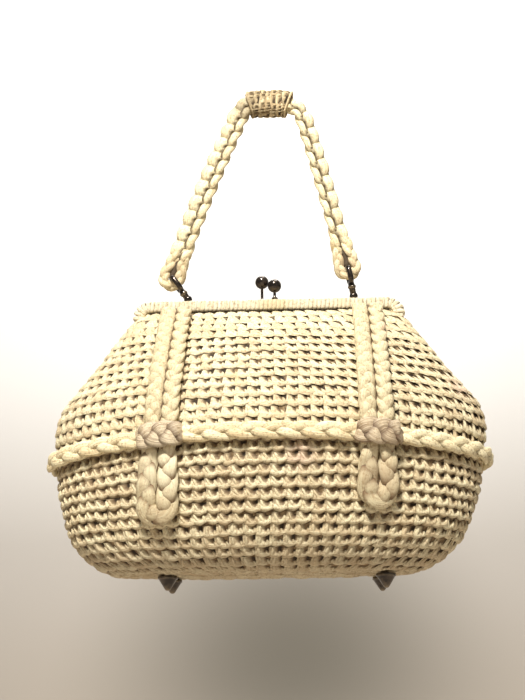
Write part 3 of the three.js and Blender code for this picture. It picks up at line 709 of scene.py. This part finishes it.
def bronze_piece(name, bm, node):
    bmesh.ops.recalc_face_normals(bm, faces=bm.faces)
    to_metres = Matrix.Scale(MM, 4) @ Matrix.Translation((0, 0, -HANG_HEIGHT))
    bmesh.ops.transform(bm, matrix=to_metres, verts=bm.verts)
    mesh = bpy.data.meshes.new(name)
    bm.to_mesh(mesh)
    bm.free()
    placed(name, mesh, dark_bronze, node)


CLASPS = {"clasp_back": (-4.8, HALF_Y, 16.8), "clasp_front": (4.8, -HALF_Y, 11.1)}
CLASP_BALL = {"radius": 5.2, "neck": 1.05, "steps": 18, "worn": 0.35}
CLASP_POST = [
    (0, 0.4, 0), (2.2, 0.4, 0), (2.4, 0.6, 0.5), (2.4, 1.1, 0.6), (2.1, 1.35, 0.3), (1.35, 1.5, 0),
    (1.1, 2.2, 0),
]
for name, (x, y, rise) in CLASPS.items():
    clasp = bmesh.new()
    clasp_line = CLASP_POST + ball_profile(centre=rise, **CLASP_BALL)
    turned_shape(clasp, clasp_line, Matrix.Translation((x, y, FRAME["top"])))
    bronze_piece(name + "_ball", clasp, name)

LINKS = {"link_left": (-61.0, -73.5, 20.5), "link_right": (64.5, 60.5, 26.0)}
LINK = {"wire": 1.6, "across": 2.0, "half_width": 6.2, "length": 12.6}
LINK_RING = {"power": 2 / 3, "steps": 48, "step": 0.9, "around": 12}
LINK_BALL = {"radius": 3.2, "neck": 2.1, "steps": 10, "worn": 0.5}
LINK_BALL_HEIGHT = 4.0
LINK_FLANGE = [(0, -3.6, 0), (2.5, -3.6, 0), (2.7, -3.4, 0.6), (2.7, -2.8, 0.5), (2.1, -2.5, 0)]


def link_ring(axis):
    """The long ring of a link about its own middle, lengthwise along an axis."""
    turn = np.linspace(0, 2 * math.pi, LINK_RING["steps"] + 1)
    lengthwise = LINK["length"] / 2 * squared(np.cos(turn), LINK_RING["power"])
    sideways = LINK["half_width"] * squared(np.sin(turn), LINK_RING["power"])
    line, _ = evenly(np.outer(lengthwise, axis) + np.outer(sideways, BACKWARD), LINK_RING["step"])
    out = np.broadcast_to(np.cross(axis, BACKWARD), line.shape)
    ahead = np.gradient(np.vstack([line[-2], line, line[1]]), axis=0)[1:-1]
    aside = unit(np.cross(ahead, out))
    points, quads, *_ = tube(line, aside, out, LINK["wire"], LINK["across"], LINK_RING["around"])
    return points, quads


for name, (foot_x, eye_x, eye_height) in LINKS.items():
    ball = Vector((foot_x, HALF_Y, FRAME["top"] + LINK_BALL_HEIGHT))
    eye = Vector((eye_x, 0, FRAME["top"] + eye_height))
    axis = Vector((eye.x - ball.x, 0, eye.z - ball.z)).normalized()
    link = bmesh.new()
    turned_shape(link, LINK_FLANGE + ball_profile(centre=0, **LINK_BALL), Matrix.Translation(ball))
    shank = eye - axis * LINK["length"] - ball
    lean = Vector((0, 0, 1)).rotation_difference(shank).to_matrix().to_4x4()
    end = shank.length
    shank_line = [
        (0, 0, 0), (2.4, 0, 0), (2.4, end - 4.6, 0), (2.7, end - 4.2, 0.4), (3.1, end - 3.4, 0.8),
        (3.1, end - 2.7, 0.8), (2.7, end - 1.9, 0.4), (2.4, end - 1.5, 0), (2.4, end, 0), (0, end + 0.8, 0),
    ]
    turned_shape(link, shank_line, Matrix.Translation(ball) @ lean)
    ring, ring_quads = link_ring(axis)
    ring_middle = eye - axis * (LINK["length"] / 2)
    ring_verts = [link.verts.new(Vector(point) + ring_middle) for point in ring]
    for quad in ring_quads:
        link.faces.new([ring_verts[k] for k in quad])
    bmesh.ops.remove_doubles(link, verts=ring_verts, dist=1e-3)
    bronze_piece(name + "_eye", link, name)

FOOT = {"spread": 72.5, "shift": 3.0, "y": 13.0}
FOOT_LINE = [
    (0, -10, 0.6), (0.9, -9.9, 0.8), (1.6, -9.5, 0.8), (2.1, -8.8, 0.5), (5.6, -3.4, 0.2), (5.85, -2.9, 0),
    (6.5, -2.6, 0.4), (6.7, -2.2, 0.6), (6.7, -1.2, 0.5), (6.5, -0.6, 0.2), (6.3, -0.4, 0), (0, -0.4, 0),
]
LEFT, RIGHT = -1, 1
CORNERS = {
    "front_left": (FRONT, LEFT),
    "front_right": (FRONT, RIGHT),
    "back_left": (BACK, LEFT),
    "back_right": (BACK, RIGHT),
}
for corner, (facing, side) in CORNERS.items():
    foot = bmesh.new()
    place = Matrix.Translation((side * FOOT["spread"] + FOOT["shift"], facing * FOOT["y"], 0))
    turned_shape(foot, FOOT_LINE, place)
    bronze_piece("foot_cone_" + corner, foot, "foot_" + corner)

for hand in ("left", "right"):
    pin_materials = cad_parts["hinge_pin_" + hand].data.materials
    pin_materials.clear()
    pin_materials.append(dark_bronze)

# Handle
# A fat three-strand plait of raffia cord, bent over at the top and opened into a loop at each end,
# where it passes through the link. Hands have browned it near the links and at the bends.

plaited_straw = raffia(
    "straw_plait",
    pale=(1.0, 0.91, 0.62, 1),
    deep=(0.76, 0.60, 0.35, 1),
    pit_shade=(0.08, 0.05, 0.02, 1),
    groove=(0.1, 0.7),
)
CORD = {"half_width": 4.15, "half_thick": 4.0, "spacing": 8.8}
SLEEVE = {"half_width": 11.65, "half_thick": 7.1, "left_end": 0.466, "right_end": 0.56, "skew": -2.0}
HANDLE_TOP = HANG_HEIGHT + SLEEVE["half_width"]
HANDLE_CORNERS = [(-73.5, 222.0), (-17.5, HANDLE_TOP), (27.5, HANDLE_TOP), (60.5, 227.5)]
HANDLE_TURN = math.radians(11)
HANDLE_HALF_THICK = 1.12 * CORD["half_thick"]
HANDLE_PLAIT = {"ends": 9.0, "fill": 0.58, "uneven": -0.25, "dive_shade": 0.6, "linger": 3.0, "valley": 0.9}
# These pairs are for the left and the right leg. A period below zero plaits the other way round.
HANDLE_BENDS = (12, 19)
HANDLE_PERIOD = (41.5, -45.0)
HANDLE_BOW = (-2.6, 1.2)
HANDLE_SLACK = (0.25, -1.3)

EYE_GAP = 0.4
EYE_RADIUS = LINK["wire"] + EYE_GAP + CORD["half_width"]
EYE_TAPER = 18.0
EYE_RUN = 27.0
EYE_STEPS = 14
EYE_PLAIT = {"half_thick": CORD["half_thick"], "period": 30.0, "fill": 0.6}
PLAIT_START = 0.45 * EYE_RUN
PLAIT_TAPER = 12.0
PLAIT_END = 0.72
CORE_HALF_THICK = 1.6
CORE_OVERLAP = 1.0
CORE_ROUNDING = 2.0
CORE_PAINTED_SHADOW = {"tone": 0.2, "level": 0.12}
PLAIT_STEP = 1.6
PLAIT_AROUND = 10
STRAND_THICKNESS = 0.6
STRAND_TONES = (0.2, 0.9)
PLUMPNESS = {"reach": 0.07, "every": 8}
DIVE_SHARPNESS = 1.35
VALLEY_WIDTH = 1.25
FIBRE_GAP = 97.0


def wavering(count, reach, every):
    """A slow random drift about 1."""
    knots = max(4, count // every)
    drift = rng.uniform(-1, 1, knots + 1)
    return 1 + reach * np.interp(np.linspace(0, knots, count), np.arange(knots + 1), drift)


def rounded_ends(travelled, reach):
    """1 along most of a strand, falling to almost nothing at both ends as a quarter circle does."""
    near = np.clip(np.minimum(travelled, travelled[-1] - travelled) / reach, 0, 1)
    return np.sqrt(np.maximum(1 - (1 - near) ** 2, 1e-4))


def plait(
    centre, across, out, half_width, half_thick, period,
    start=0.0, ends=5.0, fill=0.54, uneven=0.0, dive_shade=0.55, linger=0.8, valley=0.0,
):
    """Three strands that weave over and under each other along a line; sizes and period may vary along it.

    Uneven widens the lobes on one side, dive_shade is how much painted shade darkens the strands where
    they dive, linger is how long they stay at the edge before they cross, and valley is how much painted
    shadow darkens the line between the lobes."""
    count = len(centre)
    steps = np.linalg.norm(np.diff(centre, axis=0), axis=-1)
    half_width, half_thick, period = (np.broadcast_to(v, count) for v in (half_width, half_thick, period))
    laid = np.concatenate([[0.0], np.cumsum(steps / period[1:])]) + start
    rounded = rounded_ends(travelled_along(centre), ends)
    ring = strand_patch(count - 1, PLAIT_AROUND)[0][:, 0]
    parts = []
    for strand in range(3):
        swing = 2 * math.pi * (laid + strand / 3)
        plump = wavering(count, **PLUMPNESS)
        side = np.tanh(linger * np.sin(swing)) / np.tanh(linger)
        wide = fill * half_width * plump * (1 + uneven * side)
        thick = STRAND_THICKNESS * half_thick * plump
        sway = (1 - fill) * half_width * side - uneven * fill * half_width
        rise = (half_thick - thick) * np.sin(2 * swing)
        line = centre + across * sway[:, None] + out * rise[:, None]
        ahead = unit(np.gradient(line, axis=0))
        aside = unit(np.cross(ahead, out))
        upward = np.cross(aside, ahead)
        tone = rng.uniform(*STRAND_TONES)
        # Painted shade where the strand dives under the others.
        level = 1 - dive_shade * (1 - np.abs(np.sin(swing))) ** DIVE_SHARPNESS
        sizes = wide * rounded, thick * rounded
        strand_looks = FIBRE_GAP * strand, tone, level
        points, *rest, depth = tube(line, aside, upward, *sizes, PLAIT_AROUND, *strand_looks)
        # Painted shadow along the line between the lobes, as dark as valley says.
        off_middle = ((points - centre[ring]) * across[ring]).sum(axis=-1)
        off_middle += 2 * uneven * fill * half_width[ring]
        lit = 1 - valley * np.exp(-((off_middle / VALLEY_WIDTH) ** 2))
        parts.append((points, *rest, depth * lit))
    return parts


def beside(line, out):
    """The way across a line, square to the way out."""
    return unit(np.cross(np.gradient(line, axis=0), out))


FORWARD = -BACKWARD
handle_line, handle_run = evenly(rounded_line(HANDLE_CORNERS, HANDLE_BENDS), PLAIT_STEP)
rising = np.clip((handle_line[:, 2] - HANDLE_CORNERS[0][1]) / (HANDLE_TOP - HANDLE_CORNERS[0][1]), 0, 1)
handle_line[:, 0] += np.where(handle_line[:, 0] < 0, *HANDLE_BOW) * np.sin(math.pi * rising)
handle_ahead = unit(np.gradient(handle_line, axis=0))
handle_across = np.cross(handle_ahead, FORWARD)
from_eye = np.minimum(handle_run, handle_run[-1] - handle_run)
opened = np.clip(from_eye / EYE_TAPER, 0, 1)
cord_aside = EYE_RADIUS + (CORD["spacing"] / 2 - EYE_RADIUS) * opened * opened * (3 - 2 * opened)
outer_facing = np.cos(HANDLE_TURN) * handle_across + np.sin(HANDLE_TURN) * FORWARD
handle_out = np.cos(HANDLE_TURN) * FORWARD - np.sin(HANDLE_TURN) * handle_across
plaited = from_eye > PLAIT_START
first_half = handle_run < handle_run[-1] / 2
handle_half = CORD["spacing"] / 2 + CORD["half_width"] + np.where(first_half, *HANDLE_SLACK)
narrowed = PLAIT_END + (1 - PLAIT_END) * np.clip((from_eye - PLAIT_START) / PLAIT_TAPER, 0, 1)
handle_parts = plait(
    handle_line[plaited],
    outer_facing[plaited],
    handle_out[plaited],
    (handle_half * narrowed)[plaited],
    HANDLE_HALF_THICK,
    np.where(first_half, *HANDLE_PERIOD)[plaited],
    **HANDLE_PLAIT,
)


def eye_line(end):
    """The loop round the link at one end: down one side of the handle, round the eye and up the other."""
    index = abs(end - np.arange(round(EYE_RUN / PLAIT_STEP), 0, -1))
    beyond = handle_ahead[end] if end else -handle_ahead[end]
    turn = np.linspace(0, math.pi, EYE_STEPS)[:, None]
    bend = handle_line[end] + EYE_RADIUS * (handle_across[end] * np.cos(turn) + beyond * np.sin(turn))
    aside = handle_across[index] * cord_aside[index, None]
    down = handle_line[index] + aside
    up = (handle_line[index] - aside)[::-1]
    return evenly(np.vstack([down, bend, up]), PLAIT_STEP)[0]


for loop in (eye_line(0), eye_line(len(handle_line) - 1)):
    loop_out = np.broadcast_to(FORWARD, loop.shape)
    loop_half = 1.05 * CORD["half_width"]
    handle_parts += plait(loop, beside(loop, FORWARD), loop_out, loop_half, **EYE_PLAIT)
# The core between the two cords is coloured near black as painted shadow in the gap between them.
core_out = np.broadcast_to(FORWARD, handle_line.shape)
core_rounded = rounded_ends(handle_run, CORE_ROUNDING)
core_half = (cord_aside - CORD["half_width"] + CORE_OVERLAP) * core_rounded
core_sizes = core_half, CORE_HALF_THICK * core_rounded
handle_parts.append(tube(handle_line, handle_across, core_out, *core_sizes, PLAIT_AROUND, **CORE_PAINTED_SHADOW))
straw_piece("handle_plait", handle_parts, plaited_straw, "handle_loop")

# Handle sleeve
# A short tube of fine crochet drawn over the top of the plait as a grip, with a rolled edge at
# both ends. It is worked like the body, in a thinner strand.

sleeve_straw = raffia(
    "straw_sleeve",
    pale=(0.80, 0.67, 0.42, 1),
    deep=(0.44, 0.32, 0.17, 1),
    pit_shade=(0.06, 0.035, 0.015, 1),
    groove=(0.2, 0.85),
    shine=0.35,
)
SLEEVE_STITCH = 4.6
SLEEVE_COUNT = 14
SLEEVE_PLAY = 3.0
SLEEVE_WALL = {"share": 0.94, "power": 0.5, "turns": 48, "rows": 8}
SLEEVE_RIM = {"radius": 1.0, "inset": 0.3, "lift": -0.9, "around": 8}

sleeve_length = handle_run[-1] * (SLEEVE["right_end"] - SLEEVE["left_end"])


def on_sleeve(turn, run, lift):
    """Points off the sleeve. Turn goes round the handle, run is along it from the left end."""
    turn, run, lift = np.broadcast_arrays(turn, run, lift)
    upright = SLEEVE["skew"] * np.cos(2 * math.pi * turn) * np.clip(1 - run / sleeve_length, 0, 1)
    along = handle_run[-1] * SLEEVE["left_end"] + run + upright
    here = places_along(handle_line, handle_run, along)
    across = places_along(handle_across, handle_run, along)
    angle = 2 * math.pi * turn
    outward = unit(
        across * (np.cos(angle) / SLEEVE["half_width"])[..., None]
        + BACKWARD * (np.sin(angle) / SLEEVE["half_thick"])[..., None]
    )
    wide = SLEEVE["half_width"] * SLEEVE_WALL["share"] * squared(np.cos(angle), SLEEVE_WALL["power"])
    deep = SLEEVE["half_thick"] * SLEEVE_WALL["share"] * squared(np.sin(angle), SLEEVE_WALL["power"])
    return here + across * wide[..., None] + BACKWARD * deep[..., None] + outward * lift[..., None]


sleeve_size = SLEEVE_STITCH / STITCH
sleeve_ground = GROUND_LIFT * sleeve_size
sleeve_rounds = np.arange(0.0, sleeve_length - 0.5 * SLEEVE_STITCH, SLEEVE_STITCH)
sleeve_starts = rng.uniform(0, 1, (len(sleeve_rounds), 1))
sleeve_turn = ((np.arange(SLEEVE_COUNT) + sleeve_starts) / SLEEVE_COUNT).ravel()
sleeve_run = np.repeat(sleeve_rounds, SLEEVE_COUNT)
sleeve_pitch = np.full(len(sleeve_run), 1 / SLEEVE_COUNT)
sleeve_places = sleeve_turn, sleeve_run, sleeve_pitch, sleeve_size, sleeve_ground
sleeve_parts = [stitches(under_stitch, on_sleeve, *sleeve_places, SLEEVE_PLAY)]
rim_inset = SLEEVE_RIM["inset"] * SLEEVE_RIM["radius"]
for run in (rim_inset, sleeve_length - rim_inset):
    turn = np.linspace(0, 1, SLEEVE_WALL["turns"] + 1)
    rim_line = on_sleeve(turn, run, SLEEVE_RIM["lift"])
    rim_out = unit(on_sleeve(turn, run, 1.0) - rim_line)
    rim_aside = beside(rim_line, rim_out)
    rim_sizes = SLEEVE_RIM["radius"], SLEEVE_RIM["radius"], SLEEVE_RIM["around"]
    sleeve_parts.append(tube(rim_line, rim_aside, rim_out, *rim_sizes))
straw_piece("sleeve_crochet", sleeve_parts, sleeve_straw, "handle_sleeve")
row_length = sleeve_length / SLEEVE_WALL["rows"]
sleeve_face = inner_face(on_sleeve, SLEEVE_WALL["turns"], SLEEVE_WALL["rows"], row_length, sleeve_ground)
straw_piece("sleeve_inner_face", [sleeve_face], inner_straw, "handle_sleeve")

# Straps
# Raffia plaits laid double down both sides of the front and the back, sewn in under the frame. Below
# the band they hang out as a loose fat loop.

strap_straw = raffia(
    "straw_strap",
    pale=(0.78, 0.70, 0.47, 1),
    deep=(0.60, 0.475, 0.29, 1),
    pit_shade=(0.24, 0.15, 0.08, 1),
    groove=(0.1, 0.75),
)
STRAP_X = 70.0
STRAP_TOP = 190.5
STRAP_TURN = {LEFT: 41.0, RIGHT: 50.0}
STRAP_STEP = 2.0
STRAP_BEND_STEPS = 13
STRAP_LIFT = 3.65
STRAP_HALF_THICK = 3.25
STRAP_FILL = 0.66
STRAP_DIVE_SHADE = {"tail": 0.95, "wall": 0.5}
GAP_SHADOW_LIFT = 2.4
GAP_SHADOW_STRIP = {"half_width": 2.2, "half_thick": 1.0, "around": PLAIT_AROUND, "tone": 0.2, "level": 0.1}
STRAP = table(
    ("height", "spread", "half_width", "lean", "period"),
    [
        (41, 6.9, 7.5, -1.8, 44),
        (60, 6.7, 7.1, -1.2, 44),
        (74, 5.8, 6.2, -0.8, 36),
        (85, 5.2, 5.7, -0.5, 30),
        (102, 5.9, 6.1, 0, 30),
        (190.5, 5.7, 5.8, 2.6, 30),
    ],
)
FRONT_TURNS = np.linspace(-0.25, 0.25, TURNS // 2 + 1)


def strap_size(column, height):
    return np.interp(height, STRAP["height"], STRAP[column])


def on_front(x, height, lift):
    """Points off the front at a distance right of the middle, and the way out of the wall there."""
    places = []
    for across, run, off in zip(x, run_at(height), np.broadcast_to(lift, len(x))):
        turn = np.interp(across, on_wall(FRONT_TURNS, run, 0.0)[:, 0], FRONT_TURNS)
        places.append((on_wall(turn, run, off), on_wall(turn, run, off + 1.0)))
    near, far = (np.array(values) for values in zip(*places))
    return near, unit(far - near)


def smoothed(line, passes=3):
    """The same line with its kinks eased and its ends kept."""
    line = line.copy()
    for _ in range(passes):
        line[1:-1] = (line[:-2] + 2 * line[1:-1] + line[2:]) / 4
    return line


def turned_to(facing, *lines):
    """Lines of the front as they are, or the same lines on the back."""
    return [line * (1, -facing, 1) for line in lines]


def strap_parts(middle, facing, turn_height):
    """One strap: down the wall, round its free end and up again, with a dark strip between the two runs as
    painted shadow.
    """
    down = np.arange(STRAP_TOP, turn_height, -STRAP_STEP)
    spread = strap_size("spread", down)
    angle = np.linspace(0, math.pi, STRAP_BEND_STEPS)
    radius = strap_size("spread", turn_height)
    aside = np.concatenate([-spread, -radius * np.cos(angle), spread[::-1]])
    height = np.concatenate([down, turn_height - radius * np.sin(angle), down[::-1]])
    line, out = on_front(middle + strap_size("lean", height) + aside, height, STRAP_LIFT)
    line = smoothed(line)
    even, travelled = evenly(line, PLAIT_STEP)
    line_run = travelled_along(line)
    out = unit(places_along(smoothed(out), line_run, travelled))
    heights = np.interp(travelled, line_run, height)
    even, out = turned_to(facing, even, out)
    parts = plait(
        even,
        beside(even, out),
        out,
        strap_size("half_width", heights),
        STRAP_HALF_THICK,
        strap_size("period", heights),
        fill=STRAP_FILL,
        dive_shade=np.where(heights < BAND_HEIGHT, STRAP_DIVE_SHADE["tail"], STRAP_DIVE_SHADE["wall"]),
    )
    # Painted shadow: a near-black strip in the gap between the two runs.
    gap_shadow, gap_shadow_out = on_front(middle + strap_size("lean", down), down, GAP_SHADOW_LIFT)
    gap_shadow, gap_shadow_out = turned_to(facing, smoothed(gap_shadow), smoothed(gap_shadow_out))
    parts.append(tube(gap_shadow, beside(gap_shadow, gap_shadow_out), gap_shadow_out, **GAP_SHADOW_STRIP))
    return parts


for corner, (facing, side) in CORNERS.items():
    parts = strap_parts(side * STRAP_X, facing, STRAP_TURN[side])
    straw_piece("strap_plait_" + corner, parts, strap_straw, "strap_" + corner)

# Keepers
# Short wide plaits of browner raffia that arch over the straps where the band crosses them. Their ends
# are sewn to the wall on both sides of the strap, and hide the ends of the band.

keeper_straw = raffia(
    "straw_keeper",
    pale=(0.76, 0.64, 0.46, 1),
    deep=(0.30, 0.205, 0.135, 1),
    pit_shade=(0.14, 0.085, 0.05, 1),
    groove=(0.15, 0.9),
)
KEEPER = table(
    ("across", "lift", "half_height"),
    [
        (5, 10, 9.2),
        (11, 9, 8.6),
        (13.6, 4.6, 7.6),
        (15.6, 3.1, 6.4),
    ],
)
KEEPER_REACH = KEEPER["across"][-1]
KEEPER_STEPS = 44
KEEPER_PLAIT = {"half_thick": 2.6, "period": 30.0, "ends": 4.0, "fill": 0.6, "dive_shade": 0.85}


def keeper_parts(middle, facing):
    across = np.linspace(-KEEPER_REACH, KEEPER_REACH, KEEPER_STEPS)
    lift, wide = (np.interp(abs(across), KEEPER["across"], KEEPER[name]) for name in ("lift", "half_height"))
    line, out = on_front(middle + across, np.full(len(across), BAND_HEIGHT), lift)
    line, out = turned_to(facing, smoothed(line, 6), out)
    ahead = unit(np.gradient(line, axis=0))
    upward = unit(np.cross(ahead, out))
    outward = np.cross(upward, ahead)
    return plait(line, upward, outward, wide, start=rng.uniform(0, 1), **KEEPER_PLAIT)


for corner, (facing, side) in CORNERS.items():
    parts = keeper_parts(side * STRAP_X, facing)
    straw_piece("keeper_plait_" + corner, parts, keeper_straw, "keeper_" + corner)

# Band
# A three-strand plait of the handle's straw, sewn round the widest part of the body. It is laid in four
# lengths, and each of them ends under a keeper.

BAND_LIFT = 3.6
BAND_STEPS = 400
BAND_TUCK = 3.0
BAND_PLAIT = {"half_width": 6.2, "half_thick": 3.2, "period": 48.0}


def band_turn(x):
    return np.interp(x, on_wall(FRONT_TURNS, band_run, 0.0)[:, 0], FRONT_TURNS)


def band_parts(first, last):
    line, _ = evenly(on_wall(np.linspace(first, last, BAND_STEPS), band_run, BAND_LIFT), PLAIT_STEP)
    turn = np.linspace(first, last, len(line))
    out = unit(on_wall(turn, band_run, BAND_LIFT + 1.0) - on_wall(turn, band_run, BAND_LIFT))
    return plait(line, beside(line, out), out, **BAND_PLAIT)


inside = STRAP_X - KEEPER_REACH + BAND_TUCK
outside = STRAP_X + KEEPER_REACH - BAND_TUCK
left_inside, right_inside = band_turn(-inside), band_turn(inside)
left_outside, right_outside = band_turn(-outside), band_turn(outside)
for part, first, last in (
    ("front", left_inside, right_inside),
    ("right", right_outside, 0.5 - right_outside),
    ("back", 0.5 - right_inside, 0.5 - left_inside),
    ("left", -0.5 - left_outside, left_outside),
):
    straw_piece("band_plait_" + part, band_parts(first, last), plaited_straw, "band_" + part)

# Stage
# A pale floor sweeping up into a backdrop far behind, painted darker towards the bottom and with a
# painted shadow behind the bag, soft light from above and in front, and the camera below the bag,
# looking up at it.

FLOOR = -0.62
SHADE_SPOT = (0.02, 1.7, -0.46)
BACKDROP = {"y": 1.7, "top": 2.6, "half_width": 3.0, "bend": 0.5, "front": -2.2, "steps": 16}
PAPER_PAINTED_SHADE = (0.42, 0.37, 0.31, 1), (0.95, 0.94, 0.92, 1)
SHADE_COLOUR = (0.12, 0.11, 0.085, 1)


def stage_looks(shade):
    place = shade.node("TexCoord", output="Object")
    height = shade.node("SeparateXYZ", None, {"Vector": place}, "Z")
    # Painted shade: the paper darkens towards the bottom, and a painted shadow dims it behind and below the
    # bag.
    paper = height.between(-0.6, 0.5).mixed(*PAPER_PAINTED_SHADE)
    dimmed = (1 - place.away_from(SHADE_SPOT).between(0.05, 0.62)) * 0.88
    return {"Base Color": dimmed.mixed(paper, SHADE_COLOUR)}


curve = [(BACKDROP["front"], FLOOR)]
for k in range(BACKDROP["steps"] + 1):
    angle = math.pi / 2 * k / BACKDROP["steps"]
    y = BACKDROP["y"] - BACKDROP["bend"] * (1 - math.sin(angle))
    curve.append((y, FLOOR + BACKDROP["bend"] * (1 - math.cos(angle))))
curve.append((BACKDROP["y"], BACKDROP["top"]))
edges = [(x * BACKDROP["half_width"], y, z) for y, z in curve for x in (LEFT, RIGHT)]
strips = [(k, k + 1, k + 3, k + 2) for k in range(0, len(edges) - 2, 2)]
sweep_mesh = bpy.data.meshes.new("floor_sweep")
sweep_mesh.from_pydata(edges, [], strips)
sweep_mesh.shade_smooth()
sweep_mesh.materials.append(finish("pale_paper", stage_looks, {"Roughness": 0.9}))
floor_sweep = in_scene("floor_sweep", sweep_mesh)


def soft_light(name, place, target, size, power, colour):
    lamp = bpy.data.lights.new(name, "AREA")
    lamp.size = size
    lamp.energy = power
    lamp.color = colour
    light = in_scene(name, lamp)
    light.location = place
    light.rotation_euler = (Vector(target) - Vector(place)).to_track_quat("-Z", "Y").to_euler()


BAG_MIDDLE = (0, 0, -0.24)
soft_light("key_light", (-0.15, -1.0, 0.7), BAG_MIDDLE, 0.22, 31, (1.0, 0.95, 0.86))
soft_light("top_light", (0.2, -0.25, 1.15), BAG_MIDDLE, 0.5, 3, (1.0, 0.96, 0.9))
soft_light("backdrop_light", (0, 0.6, 1.9), (0, 1.7, 0.9), 1.4, 45, (1.0, 0.98, 0.96))

world = bpy.data.worlds.new("studio")
world.use_nodes = True
background = world.node_tree.nodes["Background"]
background.inputs["Color"].default_value = (1.0, 0.97, 0.93, 1)
background.inputs["Strength"].default_value = 0.24
bpy.context.scene.world = world
bpy.context.scene.view_settings.view_transform = "Standard"

CAMERA_AT = (0.00979, -0.62794, -0.42167)
yaw, pitch, roll = np.radians((-1.34, 19.33, -0.69))
lens = bpy.data.cameras.new("photo_camera")
lens.lens = 46.31
lens.sensor_width = 36
camera = in_scene("photo_camera", lens)
camera.matrix_world = (
    Matrix.Translation(CAMERA_AT)
    @ Matrix.Rotation(-yaw, 4, "Z")
    @ Matrix.Rotation(math.pi / 2 + pitch, 4, "X")
    @ Matrix.Rotation(roll, 4, "Z")
)
bpy.context.scene.camera = camera
